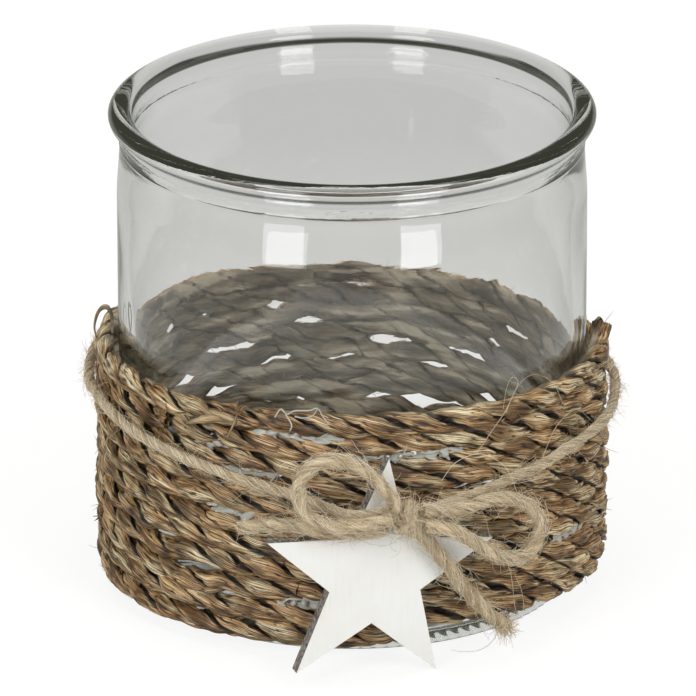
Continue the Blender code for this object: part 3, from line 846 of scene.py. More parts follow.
# In millimetres, as seen in the photograph
STRAYS = (
    ((25.2, -48.3, 44.5), (28.1, -47.4, 48.8), (31.0, -45.0, 52.4), (33.4, -41.2, 56.0), (35.7, -38.4, 57.3),
     (38.0, -36.0, 56.6), (40.9, -34.3, 54.0), (42.9, -33.9, 49.4)),
    ((31.0, -45.6, 52.2), (32.4, -42.5, 54.6), (33.6, -40.6, 56.8), (32.4, -41.0, 58.2), (31.2, -42.6, 56.3),
     (30.5, -44.6, 52.6)),
    ((31.6, -50.1, 21.1), (32.4, -49.9, 17.5), (33.0, -48.8, 11.7), (33.6, -48.1, 9.0), (34.9, -47.1, 9.6),
     (34.4, -48.2, 14.3), (33.0, -49.6, 18.4)),
    ((-52.9, -16.0, 31.2), (-50.6, -24.0, 37.2), (-47.5, -30.4, 42.4), (-44.2, -34.0, 46.1)),
    ((-32.3, -45.2, 42.5), (-31.6, -46.6, 44.3), (-29.8, -48.0, 45.7), (-28.3, -48.6, 45.0), (-28.5, -47.6, 42.0)),
    ((30.5, -43.6, 4.5), (28.5, -45.0, 1.6), (26.0, -46.2, 0.3), (22.7, -47.0, 0.25), (20.2, -47.4, 0.8)),
    ((18.0, -52.0, 40.0), (21.0, -53.0, 44.5), (26.0, -51.2, 45.5), (31.0, -47.2, 41.0), (33.5, -46.6, 35.0)),
    ((-12.0, -55.5, 32.0), (-16.0, -54.4, 36.5), (-20.5, -52.2, 38.0), (-24.5, -50.0, 34.5)),
    ((38.5, -42.5, 41.0), (41.5, -38.6, 46.5), (45.5, -34.6, 48.5), (48.6, -29.0, 44.0)),
)
strays = [route_in_mm(route, 0.7 * MM) for route in STRAYS]
stray_fibres = threads("stray_jute_fibres", strays, 0.07 * MM, jute_fibre, taper=0.4)

# %% [markdown]
# ## The rope wrap
# Two lengths of rope lie on one spiral that leans towards its high side as it climbs. Right of
# the star its lowest rows ride up and bare the jar's foot. Real rows aren't even: they wander a
# little up and down, and in many places they part and show the glass.

# %% The wrap's path
ROPE_PATH_RADIUS = 50.92 * MM
ROPE_FOOT = (2.25 + 1.9) * MM
ROPE_PITCH = 4.42 * MM
ROPE_WANDERS_UP, ROPE_WANDERS_OUT = 0.13 * MM, 0.10 * MM
WRAP_START = 150.0
WRAP_LEAN = 1.9 * MM
HIGH_SIDE = 235.0
LOWER_TURNS, UPPER_TURNS = 9.20, 1.35
WRAP_LIFT = 3.2 * MM
LIFT_START, LIFT_PEAK, LIFT_END = 274.0, 288.0, 350.0
UPPER_START = LOWER_TURNS * 360 + 5
# Where rows part: angle, height, half width in degrees, and how wide the gap is, in mm
PARTINGS = [
    (223.5, 20.8, 6, 2.0), (231.0, 17.0, 8, 2.6), (236.0, 31.9, 4, 1.6), (240.5, 39.0, 3, 1.2),
    (215.5, 27.4, 2, 1.1), (221.0, 24.6, 2.5, 1.2), (239.5, 10.6, 3, 1.3), (303.0, 37.5, 5, 1.0),
    (311.0, 41.0, 3, 0.9), (318.0, 24.0, 3, 0.9), (258.0, 49.0, 8, 1.0), (281.0, 44.6, 10, 1.2),
    (238.0, 44.4, 4, 0.9), (247.6, 39.8, 4, 0.9), (260.4, 12.4, 5, 0.9), (327.9, 18.0, 5, 0.9),
    (120.9, 30.7, 9.0, 2.3), (106.8, 29.3, 5.4, 2.2), (135.9, 28.0, 5.1, 2.5), (128.1, 24.4, 6.2, 2.3),
    (111.2, 25.5, 2.5, 2.4), (103.6, 18.5, 2.5, 2.4), (110.3, 18.2, 2.5, 2.3), (109.4, 22.1, 2.5, 2.3),
    (103.4, 21.7, 2.5, 2.3), (57.6, 29.0, 6.5, 2.3), (69.8, 24.8, 6.0, 2.1), (87.3, 20.5, 7.3, 2.0),
    (85.0, 16.7, 5.3, 2.1), (70.3, 16.5, 8.0, 1.8), (82.1, 29.7, 4.4, 2.5), (90.9, 24.9, 4.6, 2.3),
    (101.7, 33.8, 4.1, 2.2), (109.5, 42.2, 4.2, 2.3), (88.5, 42.2, 4.6, 2.3), (52.2, 42.0, 3.2, 2.3),
    (44.3, 40.4, 6.5, 2.2), (50.4, 33.0, 2.5, 2.5), (53.3, 24.2, 3.7, 2.3), (73.8, 20.1, 3.7, 2.2),
    (144.6, 40.1, 2.7, 2.5), (20, 30, 6.0, 1.8), (8, 18, 4.8, 1.8), (350, 37, 4.8, 1.8), (165, 22, 6.0, 1.9),
    (178, 36, 4.8, 1.8), (32, 14, 4.8, 1.8),
]


def row_height(wound):
    """The rope's height after this much winding, in degrees, before it wanders."""
    angle = WRAP_START + wound
    share = wound / 360 / (LOWER_TURNS + UPPER_TURNS)
    lift = np.interp(angle % 360, (LIFT_START, LIFT_PEAK, LIFT_END), (0, 1, 0))
    lift = WRAP_LIFT * lift * lift * (3 - 2 * lift) * (1 - share)
    lean = WRAP_LEAN * share * np.cos(np.radians(angle - HIGH_SIDE))
    return ROPE_FOOT + ROPE_PITCH * wound / 360 + lean + lift


def between_rows(angle, height):
    """The height, between two rows, that is nearest to this one."""
    rows = row_height((angle - WRAP_START) % 360 + 360 * np.arange(11))
    edges = (rows[1:] + rows[:-1]) / 2
    return edges[np.argmin(np.abs(edges - height))]


def wrap_path(start, end, step=1.5):
    """The rope's middle line between two amounts of winding, in degrees from its foot."""
    wound = np.linspace(start, end, round((end - start) / step) + 1)
    angle = WRAP_START + wound
    z = row_height(wound)
    push = np.zeros_like(z)
    for place, height, half, gap in PARTINGS:
        off = (angle - place + 180) % 360 - 180
        rows = (z - between_rows(place, height * MM)) / ROPE_PITCH
        near = np.exp(-((off / half) ** 2)) * np.clip(1.6 - np.abs(rows), 0, 1)
        push += near * np.sign(rows) * gap * MM / 2
    z = z + push + drift(wound, 26, 1) * ROPE_WANDERS_UP
    r = ROPE_PATH_RADIUS + drift(wound, 17, 2) * ROPE_WANDERS_OUT
    turn = np.radians(angle)
    return np.stack([r * np.cos(turn), r * np.sin(turn), z], axis=1)


def tail_up(points, run, rise):
    """The rope's end: a quarter turn from its way along the wrap to straight up."""
    way = points[-1] - points[-2]
    way = way / np.linalg.norm(way)
    bend = np.radians(np.linspace(10, 90, 9))[:, None]
    return np.vstack([points, points[-1] + way * run * np.sin(bend) + UP * rise * (1 - np.cos(bend))])


# %% Twist the rope
ROPE_LAY = 19.0 * MM
STRAND_RADIUS = 1.74 * MM
STRAND_OFFSET = 0.95 * MM
PRESSED_RADIUS, PRESSED_GIVE = 49.15 * MM, 0.15  # what would reach further in keeps this much of it
whole = wrap_path(0, LOWER_TURNS * 360)
cuts = np.linspace(0, len(whole) - 1, 5).astype(int)
lengths = {f"leaf_rope_{i + 1}": whole[cuts[i] : cuts[i + 1] + 1] for i in range(4)}
top = wrap_path(UPPER_START, UPPER_START + UPPER_TURNS * 360)
lengths["leaf_rope_top"] = tail_up(top, 4.5 * MM, 5.0 * MM)
rope = {}
begun = 0.0
for name, path in lengths.items():
    rope[name] = grow(
        twisted_cord, name, line_mesh(path), Upright=name != "leaf_rope_top", Finish=dried_leaf,
        Step=0.45 * MM, Strands=2, Points_around=26, Strand_radius=STRAND_RADIUS,
        Strand_offset=STRAND_OFFSET, Lay_length=ROPE_LAY, Start=begun, Flatness=0.70, Wander=1.5,
        Squash=(0.98, 0.98, 1.16), Crease_depth=0.5 * MM, Crease_width=0.42, Crease_length=9 * MM,
        Unevenness=0.9, Seed=0.4,
    )
    begun += path_length(path)
    # The glass has pressed the rope's inner side flat
    points = np.array([vertex.co for vertex in rope[name].data.vertices])
    radius = np.linalg.norm(points[:, :2], axis=1)
    squeezed = np.maximum(radius, PRESSED_RADIUS + (radius - PRESSED_RADIUS) * PRESSED_GIVE)
    points[:, :2] *= (squeezed / radius)[:, None]
    rope[name].data.vertices.foreach_set("co", points.astype(np.float32).ravel())
    rope[name].data.update()
print(f"rope: {begun / MM:.0f} mm")

# %% [markdown]
# ## Where the two lengths meet
# The long length's end is cut across and shows that the leaf is rolled and hollow. The short
# length begins beside it as a bound, rounded bundle. Scraps of leaf stick up there, and one thin
# strip has sprung loose at the left of the wrap.

# %% Leaf scraps
SCRAP_STEP = 0.4 * MM


def leaf_strip(name, route, width, facing, curl=0.25, thick=0.16 * MM, ends=(0.15, 0.6)):
    """A strip of leaf along a route, curled across its width, with its face turned this way."""
    spine = route_in_mm(route, SCRAP_STEP)
    ahead = unit(np.gradient(spine, axis=0))
    out = np.array(facing, float)
    across = unit(np.cross(ahead, out))
    out = np.cross(across, ahead)
    share = np.linspace(0, 1, len(spine))
    half = width / 2 * np.interp(share, (0, 0.35, 0.8, 1), (ends[0], 0.9, 1, ends[1]))
    half = half * (1 + drift(share * 10, 1.3, len(spine)) * 0.12)
    places = [(x, 1) for x in np.linspace(-1, 1, 7)] + [(x, -1) for x in np.linspace(1, -1, 7)]
    points, lay = [], []
    for centre, side, lift, reach, run in zip(spine, across, out, half, share * len(spine) * SCRAP_STEP):
        for x, face in places:
            wrinkle = math.sin(x * 9 + run * 900) * 0.06 * MM
            depth = -curl * reach * x * x + face * thick / 2 + wrinkle
            points.append(centre + side * x * reach + lift * depth)
            lay.append((x * 1.4 + 50, face, run))
    around = len(places)
    faces = ring_faces(len(spine), around)
    faces += [tuple(range(around))[::-1], tuple(range(len(points) - around, len(points)))]
    strip = mesh_piece(name, points, faces, dried_leaf)
    face_outwards(strip.data)
    mark(strip.data, "lay", lay)
    mark(strip.data, "crease", np.ones(len(points)))
    mark(strip.data, "facing", np.ones(len(points)))
    return strip


TOWARDS_SPLICE, TOWARDS_LEFT = (-0.55, -0.83, 0.1), (-0.9, -0.4, 0.2)
# Each strip's width and route, in millimetres, and the way it faces
STRIPS = {
    "leaf_scrap_long": (
        2.0, TOWARDS_SPLICE, ((-33.6, -42.3, 48.7), (-30.2, -45.4, 50.6), (-26.9, -47.9, 51.7), (-23.2, -49.6, 51.4)),
    ),
    "leaf_scrap_short": (1.5, TOWARDS_SPLICE, ((-22.2, -50.2, 51.6), (-25.8, -48.9, 52.9), (-28.9, -46.6, 53.2))),
    "leaf_scrap_thin": (0.55, TOWARDS_SPLICE, ((-23.0, -49.6, 54.4), (-24.0, -50.2, 51.6), (-25.2, -49.6, 48.7))),
    "leaf_arch": (
        1.1, TOWARDS_LEFT, ((-52.4, -1.0, 49.0), (-53.2, -2.5, 54.0), (-52.3, -4.0, 58.0),
                            (-50.6, -5.2, 59.4), (-49.6, -6.4, 58.0), (-49.4, -7.6, 54.5)),
    ),
}
strips = {}
for name, (width, facing, route) in STRIPS.items():
    strips[name] = leaf_strip(name, route, width * MM, facing)

# The cut end's rolled leaves: short open tubes of different sizes, packed side by side
ROLL_SIDES = 18
cut, before_cut = lengths["leaf_rope_4"][-1], lengths["leaf_rope_4"][-3]
cut_way = (cut - before_cut) / np.linalg.norm(cut - before_cut)
cut_side = np.cross(cut_way, UP)
rolls = []
for number, (x, z, r) in enumerate(((-0.6, 0.9, 0.9), (0.7, -0.2, 0.8), (-0.5, -1.0, 0.75), (0.6, 1.3, 0.55))):
    middle = cut + cut_side * x * MM + UP * z * MM
    angle = np.linspace(0, math.tau, ROLL_SIDES, endpoint=False)
    rings = []
    for along, radius in ((-2.5, r), (1.0, r * 1.05), (1.1, r * 0.92), (-2.0, r * 0.8)):
        for t in angle:
            side = cut_side * math.cos(t) + UP * math.sin(t)
            rings.append(middle + cut_way * along * MM + side * radius * MM)
    roll = mesh_piece(f"leaf_roll_{number + 1}", rings, ring_faces(4, ROLL_SIDES, closed=True), dried_leaf)
    face_outwards(roll.data)
    mark(roll.data, "lay", [(math.cos(t) + 20 + number, math.sin(t), a * MM) for a in (0, 3, 3, 0) for t in angle])
    # Inside the rolled tube the leaf is painted darker, as painted shade in the hollow
    mark(roll.data, "crease", np.repeat((1, 1, 0.3, 0.0), ROLL_SIDES))
    mark(roll.data, "facing", np.repeat((1, 1, 0.4, 0.2), ROLL_SIDES))
    rolls.append(roll)

# A dark crumpled tuft stands up behind the scraps, and small ones stand out here and there.
# Each has its root and length in millimetres, the way it leans, and its number of blades.
TUFTS = (
    ((-22.9, -48.6, 54.0), (-0.2, -0.3, 1), 2.6, 16), ((-38.3, -38.2, 49.2), (-0.5, -0.6, 0.6), 1.6, 12),
    ((-51.9, -10.0, 14.6), (-1, -0.3, 0.3), 1.8, 8),
)
tuft = []
for number, (root, way, length, count) in enumerate(TUFTS):
    chance = np.random.default_rng(80 + number)
    for blade in range(count):
        start = np.array(root) * MM + chance.normal(size=3) * 0.5 * MM
        lean = np.array(way) + chance.normal(size=3) * 0.45
        seed = 900 + number * 40 + blade
        tuft.append(curly(start, lean, length * chance.uniform(0.6, 1.2) * MM, 0.35, seed, steps=7))
leaf_tufts = threads("leaf_tufts", tuft, 0.2 * MM, leaf_fibre, taper=0.6)

# Torn edges of leaf all over the rope
leaf_fuzz = {}
for number, (name, piece) in enumerate(rope.items()):
    leaf_fuzz[name] = grow(
        fuzz, name + "_torn_edges", piece.data.copy(), Density=0.02 * PER_SQUARE_MM, Seed=60 + number,
        Fibre_length=3.5 * MM, Fibre_radius=0.07 * MM, Lift=0.35, Curl=4 * MM, Curl_scale=180.0, Finish=leaf_fibre,
    )

# %% [markdown]
# ## The glass jar
# Soda-lime glass, pressed in a mould: clear with a faint grey-green cast where it is thick, an
# inside that is a little wavy, a rolled bead round the mouth and slanted knurls on the foot ring.
# It is one turned profile, with the ripple and the knurls as moves of its points. Blender ends a
# ray after a number of bounces, and one that ends inside the wall would leave a black speck, so
# there the glass glows dimly in the tone of the room, as painted light.

# %% Glass
CLEAR = linear("#fdfdfd")
LAST_GLOSSY_BOUNCE, LAST_BOUNCE = 3.5, 11.5
MARKS_REACH = 110 * MM  # the height where the ramp of the mould's marks would end
glass, shader = new_material(
    "pressed_soda_lime_glass", Roughness=0.0, IOR=1.52, Transmission_Weight=1.0, Base_Color=CLEAR
)
rays = add("LightPath").node.outputs
# A ray that is still caught in the wall when its bounces run out meets a dim glow, painted light in the tone of the
# room
trapped = maths("GREATER_THAN", rays["Glossy Depth"], LAST_GLOSSY_BOUNCE)
out_of_bounces = maths("GREATER_THAN", rays["Ray Depth"], LAST_BOUNCE)
# Light that is thrown about inside the wall goes a long way through the glass and takes its tint
long_way = maths("GREATER_THAN", rays["Glossy Depth"], 1.5)
# The mould's marks under the bead, round the neck and on the shoulder: long flat ripples
place = add("TexCoord", out="Object")
marked = ramp(
    over(split(place)["Z"], MARKS_REACH),
    (0.55, "#000000"), (0.70, "#303030"), (0.84, "#404040"), (0.862, "#9a9a9a"), (0.875, "#c8c8c8"),
    (0.884, "#000000"),
)
ripples = noise(vectors("MULTIPLY", place, (1 / (4 * MM), 1 / (4 * MM), 1 / (0.9 * MM))), 3.0)
fill(shader, {
    "Emission Color": linear("#25261f"), "Emission Strength": maths("MAXIMUM", trapped, out_of_bounces),
    "Base Color": blend(long_way, CLEAR, linear("#6a6d60")),
    "Normal": bump(times(ripples, marked), 0.16 * MM),
})

# %% Turn the jar
def arc(centre, radii, start, end, steps):
    angle = np.radians(np.linspace(start, end, steps + 1))
    return np.stack([centre[0] + radii[0] * np.cos(angle), centre[1] + radii[1] * np.sin(angle)], axis=1)


def straight(a, b, steps):
    share = np.linspace(0, 1, steps + 1)[:, None]
    return np.array(a) * (1 - share) + np.array(b) * share


def bend_between(a, b, steps):
    """An S from one upright wall to another."""
    share = np.linspace(0, 1, steps + 1)
    ease = share * share * (3 - 2 * share)
    return np.stack([a[0] + (b[0] - a[0]) * ease, a[1] + (b[1] - a[1]) * share], axis=1)


# In millimetres, from the middle of the floor up the inside, over the bead and down the outside
inside = np.vstack([
    straight((0.5, 4.5), (37.3, 4.5), 6),
    arc((37.3, 12.5), (8, 8), -90, 0, 8)[1:],
    straight((45.3, 12.5), (45.3, 82.5), 20)[1:],
    bend_between((45.3, 82.5), (44.65, 91.5), 8)[1:],
    bend_between((44.65, 91.5), (45.1, 98.6), 7)[1:],
])
bead = arc((47.55, 100.2), (2.45, 1.8), 205, -62, 28)
outside = np.vstack([
    [(48.2, 98.2), (47.95, 97.7), (47.8, 97.0)],
    straight((47.75, 96.3), (47.7, 94.75), 2),
    [(47.74, 94.5), (47.8, 94.4), (47.74, 94.3), (47.7, 94.05)],
    bend_between((47.7, 94.05), (48.3, 82.5), 10)[1:],
    straight((48.3, 82.5), (48.3, 12.5), 16)[1:],
    arc((45.5, 12.5), (2.8, 9.3), 0, -80, 9)[1:],
    straight((45.6, 2.9), (45.5, 0.6), 5),
    arc((44.9, 0.6), (0.6, 0.6), 0, -90, 3)[1:],
    [(38.5, 0.0), (38.0, 0.5), (20.0, 0.5), (0.5, 0.5)],
])
profile = np.vstack([inside, bead[1:], outside])
KNURLS = 108
AROUND = KNURLS * 6
KNURL_DEPTH, RING_TOP = 0.45, 3.1
FLOOR_ROWS, RING_ROWS = 8, 15  # of the profile, from its start and from its end
# The wall's ripple: waves round the jar, where they start, how they turn with the height, and their depth
WAVES = (3, 0.4, 0.05, 0.05), (7, 2.0, 0.11, 0.035), (13, 1.1, -0.17, 0.02), (19, 4.0, 0.3, 0.01)


def make_jar():
    angle = np.arange(AROUND) / AROUND * math.tau
    r = np.repeat(profile[:, :1], AROUND, axis=1)
    z = np.repeat(profile[:, 1:], AROUND, axis=1)
    number = np.arange(len(profile))
    inner = ((number > FLOOR_ROWS) & (number < len(inside) + 3))[:, None]
    wave = sum(np.sin(n * angle + p + z * q) * a for n, p, q, a in WAVES)
    r = r + np.where(inner, wave, wave * 0.25 * (r > 40) * (z > 6))
    knurl = np.clip(np.cos(angle * KNURLS + z * math.tau * 0.25), -0.2, 1)
    on_ring = (number[:, None] >= len(profile) - RING_ROWS) & (z > 0.2) & (z < RING_TOP)
    r = r + np.where(on_ring, KNURL_DEPTH * knurl * np.sin(np.pi * np.clip(z / RING_TOP, 0, 1)) ** 0.5, 0)
    points = np.stack([r * np.cos(angle), r * np.sin(angle), z], axis=2).reshape(-1, 3) * MM
    faces = ring_faces(len(profile), AROUND)
    middle = len(points)
    points = np.vstack([points, [(0, 0, 4.5 * MM), (0, 0, 0.5 * MM)]])
    base = (len(profile) - 1) * AROUND
    faces += [(middle, (j + 1) % AROUND, j) for j in range(AROUND)]
    faces += [(middle + 1, base + j, base + (j + 1) % AROUND) for j in range(AROUND)]
    # The profile runs up the inside, so its quads come out facing in
    return mesh_piece("pressed_glass_jar", points, [face[::-1] for face in faces], glass)


jar = make_jar()
jar.visible_shadow = False  # clear glass lets the lamps' light through to the rope behind it
print(f"jar: {len(jar.data.polygons)} faces")

# %% [markdown]
# ## The star
# Sawn from 3 mm plywood and painted white on its face. The paint is thin, so the grain shows as
# faint upright streaks, and the sawn edge is dark and bare.

# %% Painted plywood
painted, shader = new_material("white_painted_plywood", Roughness=0.55, IOR=1.5)
board = attribute("board", "Vector")
grain = noise(vectors("MULTIPLY", board, (1 / (0.7 * MM), 1 / (9 * MM), 1.0)), 4.0)
cloud = noise(board, 2.0, scale=1 / (9 * MM))
paint = ramp(average(0.6, grain, cloud), (0.30, "#ebe8dd"), (0.42, "#f1f0ec"), (0.62, "#f4f5f2"))
fill(shader, {"Base Color": paint, "Normal": bump(grain, 0.1 * MM, strength=0.22)})

sawn, shader = new_material("sawn_plywood_edge", Roughness=0.8, IOR=1.5)
speck = noise(attribute("board", "Vector"), 5.0, scale=1 / (0.9 * MM), roughness=0.7)
burnt = ramp(speck, (0.36, "#3d3833"), (0.5, "#7c756d"), (0.62, "#a9a39a"), (0.7, "#5d5650"))
fill(shader, {"Base Color": burnt})

# %% Cut the star
STAR_MIDDLE = ACROSS * -14.45 * MM + UP * 22.2 * MM + OUTWARD * 55.036 * MM
STAR_LEAN = math.radians(6.0)
STAR_RADIUS, STAR_NOTCH = 25.5 * MM, 10.3 * MM
PLY = 3.0 * MM


def make_star():
    angle = np.arange(10) * math.pi / 5 + STAR_LEAN
    radius = np.where(np.arange(10) % 2, STAR_NOTCH, STAR_RADIUS)
    corners = np.stack([radius * np.sin(angle), radius * np.cos(angle)], axis=1)
    outline = []
    for a, b in zip(corners, np.roll(corners, -1, axis=0)):
        outline += [a + (b - a) * t for t in np.linspace(0, 1, 12)[:-1]]
    outline = np.array(outline)
    outline = outline * (1 + drift(np.arange(len(outline)), 6, 7) * 0.004)[:, None]
    inset = 0.12 * MM
    small = outline * (1 - inset / np.linalg.norm(outline, axis=1))[:, None]
    layers = ((small, 0.0), (outline, inset), (outline, PLY - inset), (small, PLY))
    flat = np.vstack([np.column_stack([shape, np.full(len(shape), depth)]) for shape, depth in layers])
    count = len(outline)
    faces = ring_faces(4, count)
    faces += [tuple(range(count)), tuple(3 * count + i for i in reversed(range(count)))]
    points = STAR_MIDDLE + flat[:, :1] * ACROSS + flat[:, 1:2] * UP + flat[:, 2:] * OUTWARD
    star = mesh_piece("painted_star", points, [face[::-1] for face in faces], painted, smooth=False)
    star.data.materials.append(sawn)
    for polygon in star.data.polygons[count : 2 * count]:
        polygon.material_index = 1
    mark(star.data, "board", flat)
    return star


star = make_star()

# %% [markdown]
# ## Hot glue
# Hot-melt glue is a cloudy, rubbery plastic. It was squeezed out between the rows in lumps.

# %% Glue
glue, _ = new_material(
    "hot_melt_glue", Roughness=0.18, IOR=1.48, Transmission_Weight=0.3, Base_Color=linear("#d3d4cb")
)


def voxel_skin(name, mesh, size):
    """One closed skin over everything in the mesh."""
    holder = put(name, mesh)
    remesh = holder.modifiers.new("remesh", "REMESH")
    remesh.mode, remesh.voxel_size = "VOXEL", size
    piece = with_modifiers(name, holder)
    piece.data.materials.clear()
    piece.data.materials.append(glue)
    piece.data.shade_smooth()
    return piece


GLUE_RADIUS_MM, BLOB_SPACING_MM = 52, 0.6


def glue_squeezed_out(name, source, seed, fat):
    """Blobs of many sizes strung along a CAD bead."""
    chance = np.random.default_rng(seed)
    corners = np.array([vertex.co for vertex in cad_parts[source].data.vertices])
    turn = np.arctan2(corners[:, 1], corners[:, 0])
    first, last = turn.min(), turn.max()
    solid = bmesh.new()
    count = max(8, round((last - first) * GLUE_RADIUS_MM / BLOB_SPACING_MM))
    for number in range(count):
        here = first + (last - first) * (number + 0.5 + chance.uniform(-0.4, 0.4)) / count
        near = corners[np.argsort(np.abs(turn - here))[:6]].mean(axis=0)
        out = np.array([math.cos(here), math.sin(here), 0])
        long, deep, tall = chance.uniform((0.6, 0.4, 0.25), (2.4, 1.0, fat)) * MM
        place = near + out * chance.uniform(-1.7, -0.6) * MM + UP * chance.normal() * 0.35 * MM
        matrix = Matrix.Translation(place) @ Matrix.Rotation(here + math.pi / 2, 4, "Z")
        matrix = matrix @ Matrix.Rotation(chance.normal() * 0.5, 4, "Y") @ Matrix.Diagonal((long, deep, tall, 1))
        bmesh.ops.create_icosphere(solid, subdivisions=2, radius=1.0, matrix=matrix)
    mesh = bpy.data.meshes.new(name)
    solid.to_mesh(mesh)
    solid.free()
    return voxel_skin(name, mesh, 0.16 * MM)


glued = {}
for number, node in enumerate(sorted(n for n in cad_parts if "glue" in n)):
    if node in ("bow_glue", "star_glue"):
        glued[node] = voxel_skin(node + "_pad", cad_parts[node].data.copy(), 0.25 * MM)
    else:
        glued[node] = glue_squeezed_out(node + "_squeezed", node, number, 0.8)

# A clear curl of glue sits on the top row, and strings of it stand out of the gap by the star's tip
CURLS = (
    ((-15.6, -50.4, 53.2), (-14.4, -50.9, 55.2), (-13.2, -50.8, 54.0), (-11.6, -51.2, 54.9), (-8.6, -51.7, 55.2),
     (-7.0, -52.0, 55.8), (-6.0, -52.2, 54.2), (-4.8, -52.6, 52.6)),
    ((-13.4, -51.0, 54.0), (-12.2, -52.6, 52.4), (-12.6, -53.0, 51.2)),
    ((-11.6, -51.0, 53.6), (-9.8, -51.4, 53.4), (-8.0, -51.6, 54.0), (-7.0, -51.9, 55.6)),
    ((8.6, -53.2, 44.4), (10.2, -54.0, 46.4), (11.0, -54.2, 48.6)),
    ((10.2, -54.0, 46.4), (11.6, -53.8, 46.8), (12.4, -53.6, 46.0)),
)
curls = [route_in_mm(route, 0.5 * MM) for route in CURLS]
glue_strings = threads("glue_strings", curls, 0.19 * MM, glue, taper=0.35, around=8)

# %% [markdown]
# ## Who rides and replaces what
# Nothing moves on this object, so every piece rides on the one body.

# %% Ride, replace
def dress(piece, slot, *nodes):
    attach(piece, "root")
    if nodes:
        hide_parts(*nodes)


dress(jar, "jar_glass", "glass_jar")
dress(star, "painted_plywood", "star")
for name, piece in rope.items():
    dress(piece, "leaf_rope", "rope_upper_length" if name == "leaf_rope_top" else "rope_lower_length")
for piece in (*strips.values(), *rolls, leaf_tufts, *leaf_fuzz.values()):
    dress(piece, "leaf_rope")
dress(stray_fibres, "jute_twine")
dress(glue_strings, "hot_glue")
for name, piece in twine.items():
    dress(piece, "jute_twine", name)
for piece in furred.values():
    dress(piece, "jute_twine")
for node, piece in glued.items():
    dress(piece, "hot_glue", node)

FAR_ENDS = {"bow_left_loop": "object", "bow_left_tail": "bare", "bow_right_loop": "object", "bow_right_tail": "bare"}
for name, far_end in FAR_ENDS.items():
    shared = [piece for key, piece in furred.items() if key.startswith(name)]
    if name == "bow_right_loop":
        shared += [twine["bow_knot"], *[piece for key, piece in furred.items() if key.startswith("bow_knot")]]

# %% [markdown]
# ## Floor and light
# A white floor, a soft white surround, a soft box above and one on each side in front. Those two
# also show as bright patches in the glass. Straight to the camera the floor and the surround are
# white. Through the glass the photograph shows the grey of its studio paper, so rays that have
# passed through glass meet that grey, and mirrored rays meet a dimmer white.

# %% Floor and surround
PAPER_GREY = "#c9cac7"
PAPER_WHITE = linear("#ffffff")
# How bright the floor looks to the camera and in the glass, the surround, and the cards
FLOOR_GLOW, MIRRORED_GLOW, SURROUND_LIGHT, CARD_LIGHT = 1.12, 0.62, 0.36, 4.2
paper, shader = new_material("studio_paper", Roughness=0.9, Base_Color=linear("#f2f2f0"))
rays = add("LightPath").node.outputs
away = vectors("LENGTH", add("TexCoord", out="Object"))
# Behind the glass it glows grey, with a painted pool of light near the jar and a painted shadow under it, where the
# wrap shades it
seen_grey = ramp(
    away, (0.034, "#86867e"), (0.050, "#f4f4f2"), (0.10, "#f8f8f6"), (0.13, "#eaeae7"), (0.175, "#d7d8d4"),
    (0.26, PAPER_GREY),
)
plain = shader.outputs[0]
to_camera = choose(rays["Is Camera Ray"], plain, choose(0.75, plain, glow(PAPER_WHITE, FLOOR_GLOW)))
mirrored = choose(rays["Is Glossy Ray"], to_camera, glow(linear("#f6f8f0"), MIRRORED_GLOW))
show(choose(rays["Is Transmission Ray"], mirrored, glow(seen_grey)))
FLOOR_HALF = 3.0
corners = [(x * FLOOR_HALF, y * FLOOR_HALF, 0) for x, y in ((-1, -1), (1, -1), (1, 1), (-1, 1))]
floor = mesh_piece("floor", corners, [(0, 1, 2, 3)], paper)

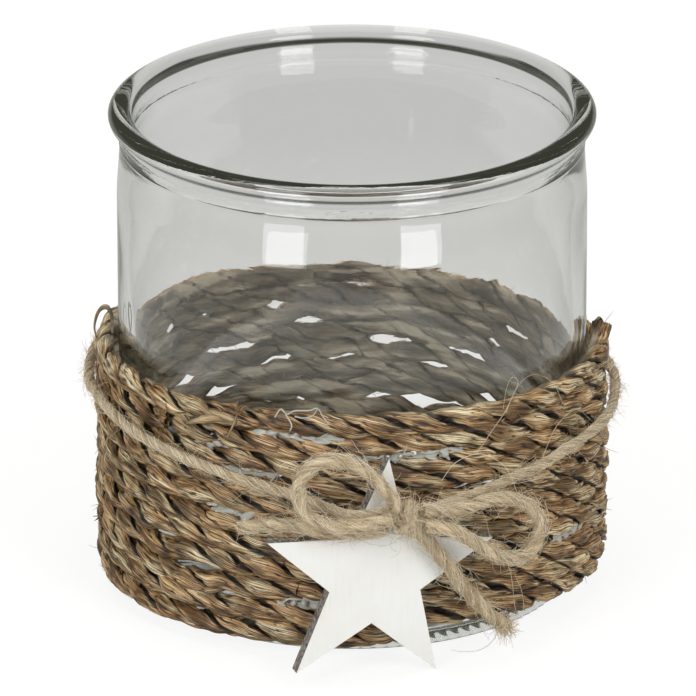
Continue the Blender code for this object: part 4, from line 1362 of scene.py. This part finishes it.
world = bpy.data.worlds.new("surround")
bpy.context.scene.world = world
world.use_nodes = True
draw_in(world.node_tree)
rays = add("LightPath").node.outputs
soft = open_tree.nodes["Background"]
fill(soft, {"Color": PAPER_WHITE, "Strength": SURROUND_LIGHT})
white = add("Background", {"Color": PAPER_WHITE, "Strength": 1.0})
height = split(add("TexCoord", out="Generated"))["Z"]
room_tone = ramp(height, (0.02, PAPER_GREY), (0.20, "#54564d"), (0.9, "#3c3d37"))
room = add("Background", {"Color": room_tone, "Strength": 1.0})
# Light that reaches the rope or the twine by way of the glass is the plain soft light
by_glass = plus(rays["Is Transmission Ray"], rays["Is Glossy Ray"])
for_eye = maths("LESS_THAN", rays["Diffuse Depth"], 0.5)
looked_at = choose(rays["Is Camera Ray"], soft.outputs[0], white)
show(choose(times(by_glass, for_eye), looked_at, room), "World Output")

# %% Soft boxes
def soft_box(name, place, width, height, watts, target=(0, 0, 0.05)):
    light = bpy.data.lights.new(name, "AREA")
    light.shape, light.size, light.size_y, light.energy = "RECTANGLE", width, height, watts
    box = put(name, light)
    box.location = place
    away = Vector(place) - Vector(target)
    box.rotation_euler = away.to_track_quat("Z", "Y").to_euler()
    box.visible_camera = False
    box.visible_transmission = False


soft_box("soft_box_left", (-0.8, -1.1, 0.9), width=0.5, height=0.9, watts=8.3)
soft_box("soft_box_right", (0.8, -1.1, 0.9), width=0.5, height=0.9, watts=8.3)
soft_box("soft_box_top", (0.0, 0.1, 1.6), width=1.2, height=1.2, watts=6.0)

# The soft boxes' images in the glass: cards that only reflections see
card_material, _ = new_material("lit_card")
for_eye = maths("LESS_THAN", add("LightPath", out="Diffuse Depth"), 0.5)
show(glow(PAPER_WHITE, times(for_eye, CARD_LIGHT)))
CARD_DISTANCE, CARD_FOOT, CARD_TOP = 0.30, 0.005, 0.30
CARD_AZIMUTH, CARD_HALF = 31.0, 9.4
for side, name in ((-1, "card_left"), (1, "card_right")):
    corners = []
    for turn, height in ((-1, CARD_FOOT), (1, CARD_FOOT), (1, CARD_TOP), (-1, CARD_TOP)):
        azimuth = math.radians(side * CARD_AZIMUTH + turn * CARD_HALF)
        corners.append((CARD_DISTANCE * math.sin(azimuth), -CARD_DISTANCE * math.cos(azimuth), height))
    card = mesh_piece(name, corners, [(3, 2, 1, 0)], card_material, smooth=False)
    card.visible_camera = card.visible_diffuse = False
    card.visible_shadow = card.visible_volume_scatter = False
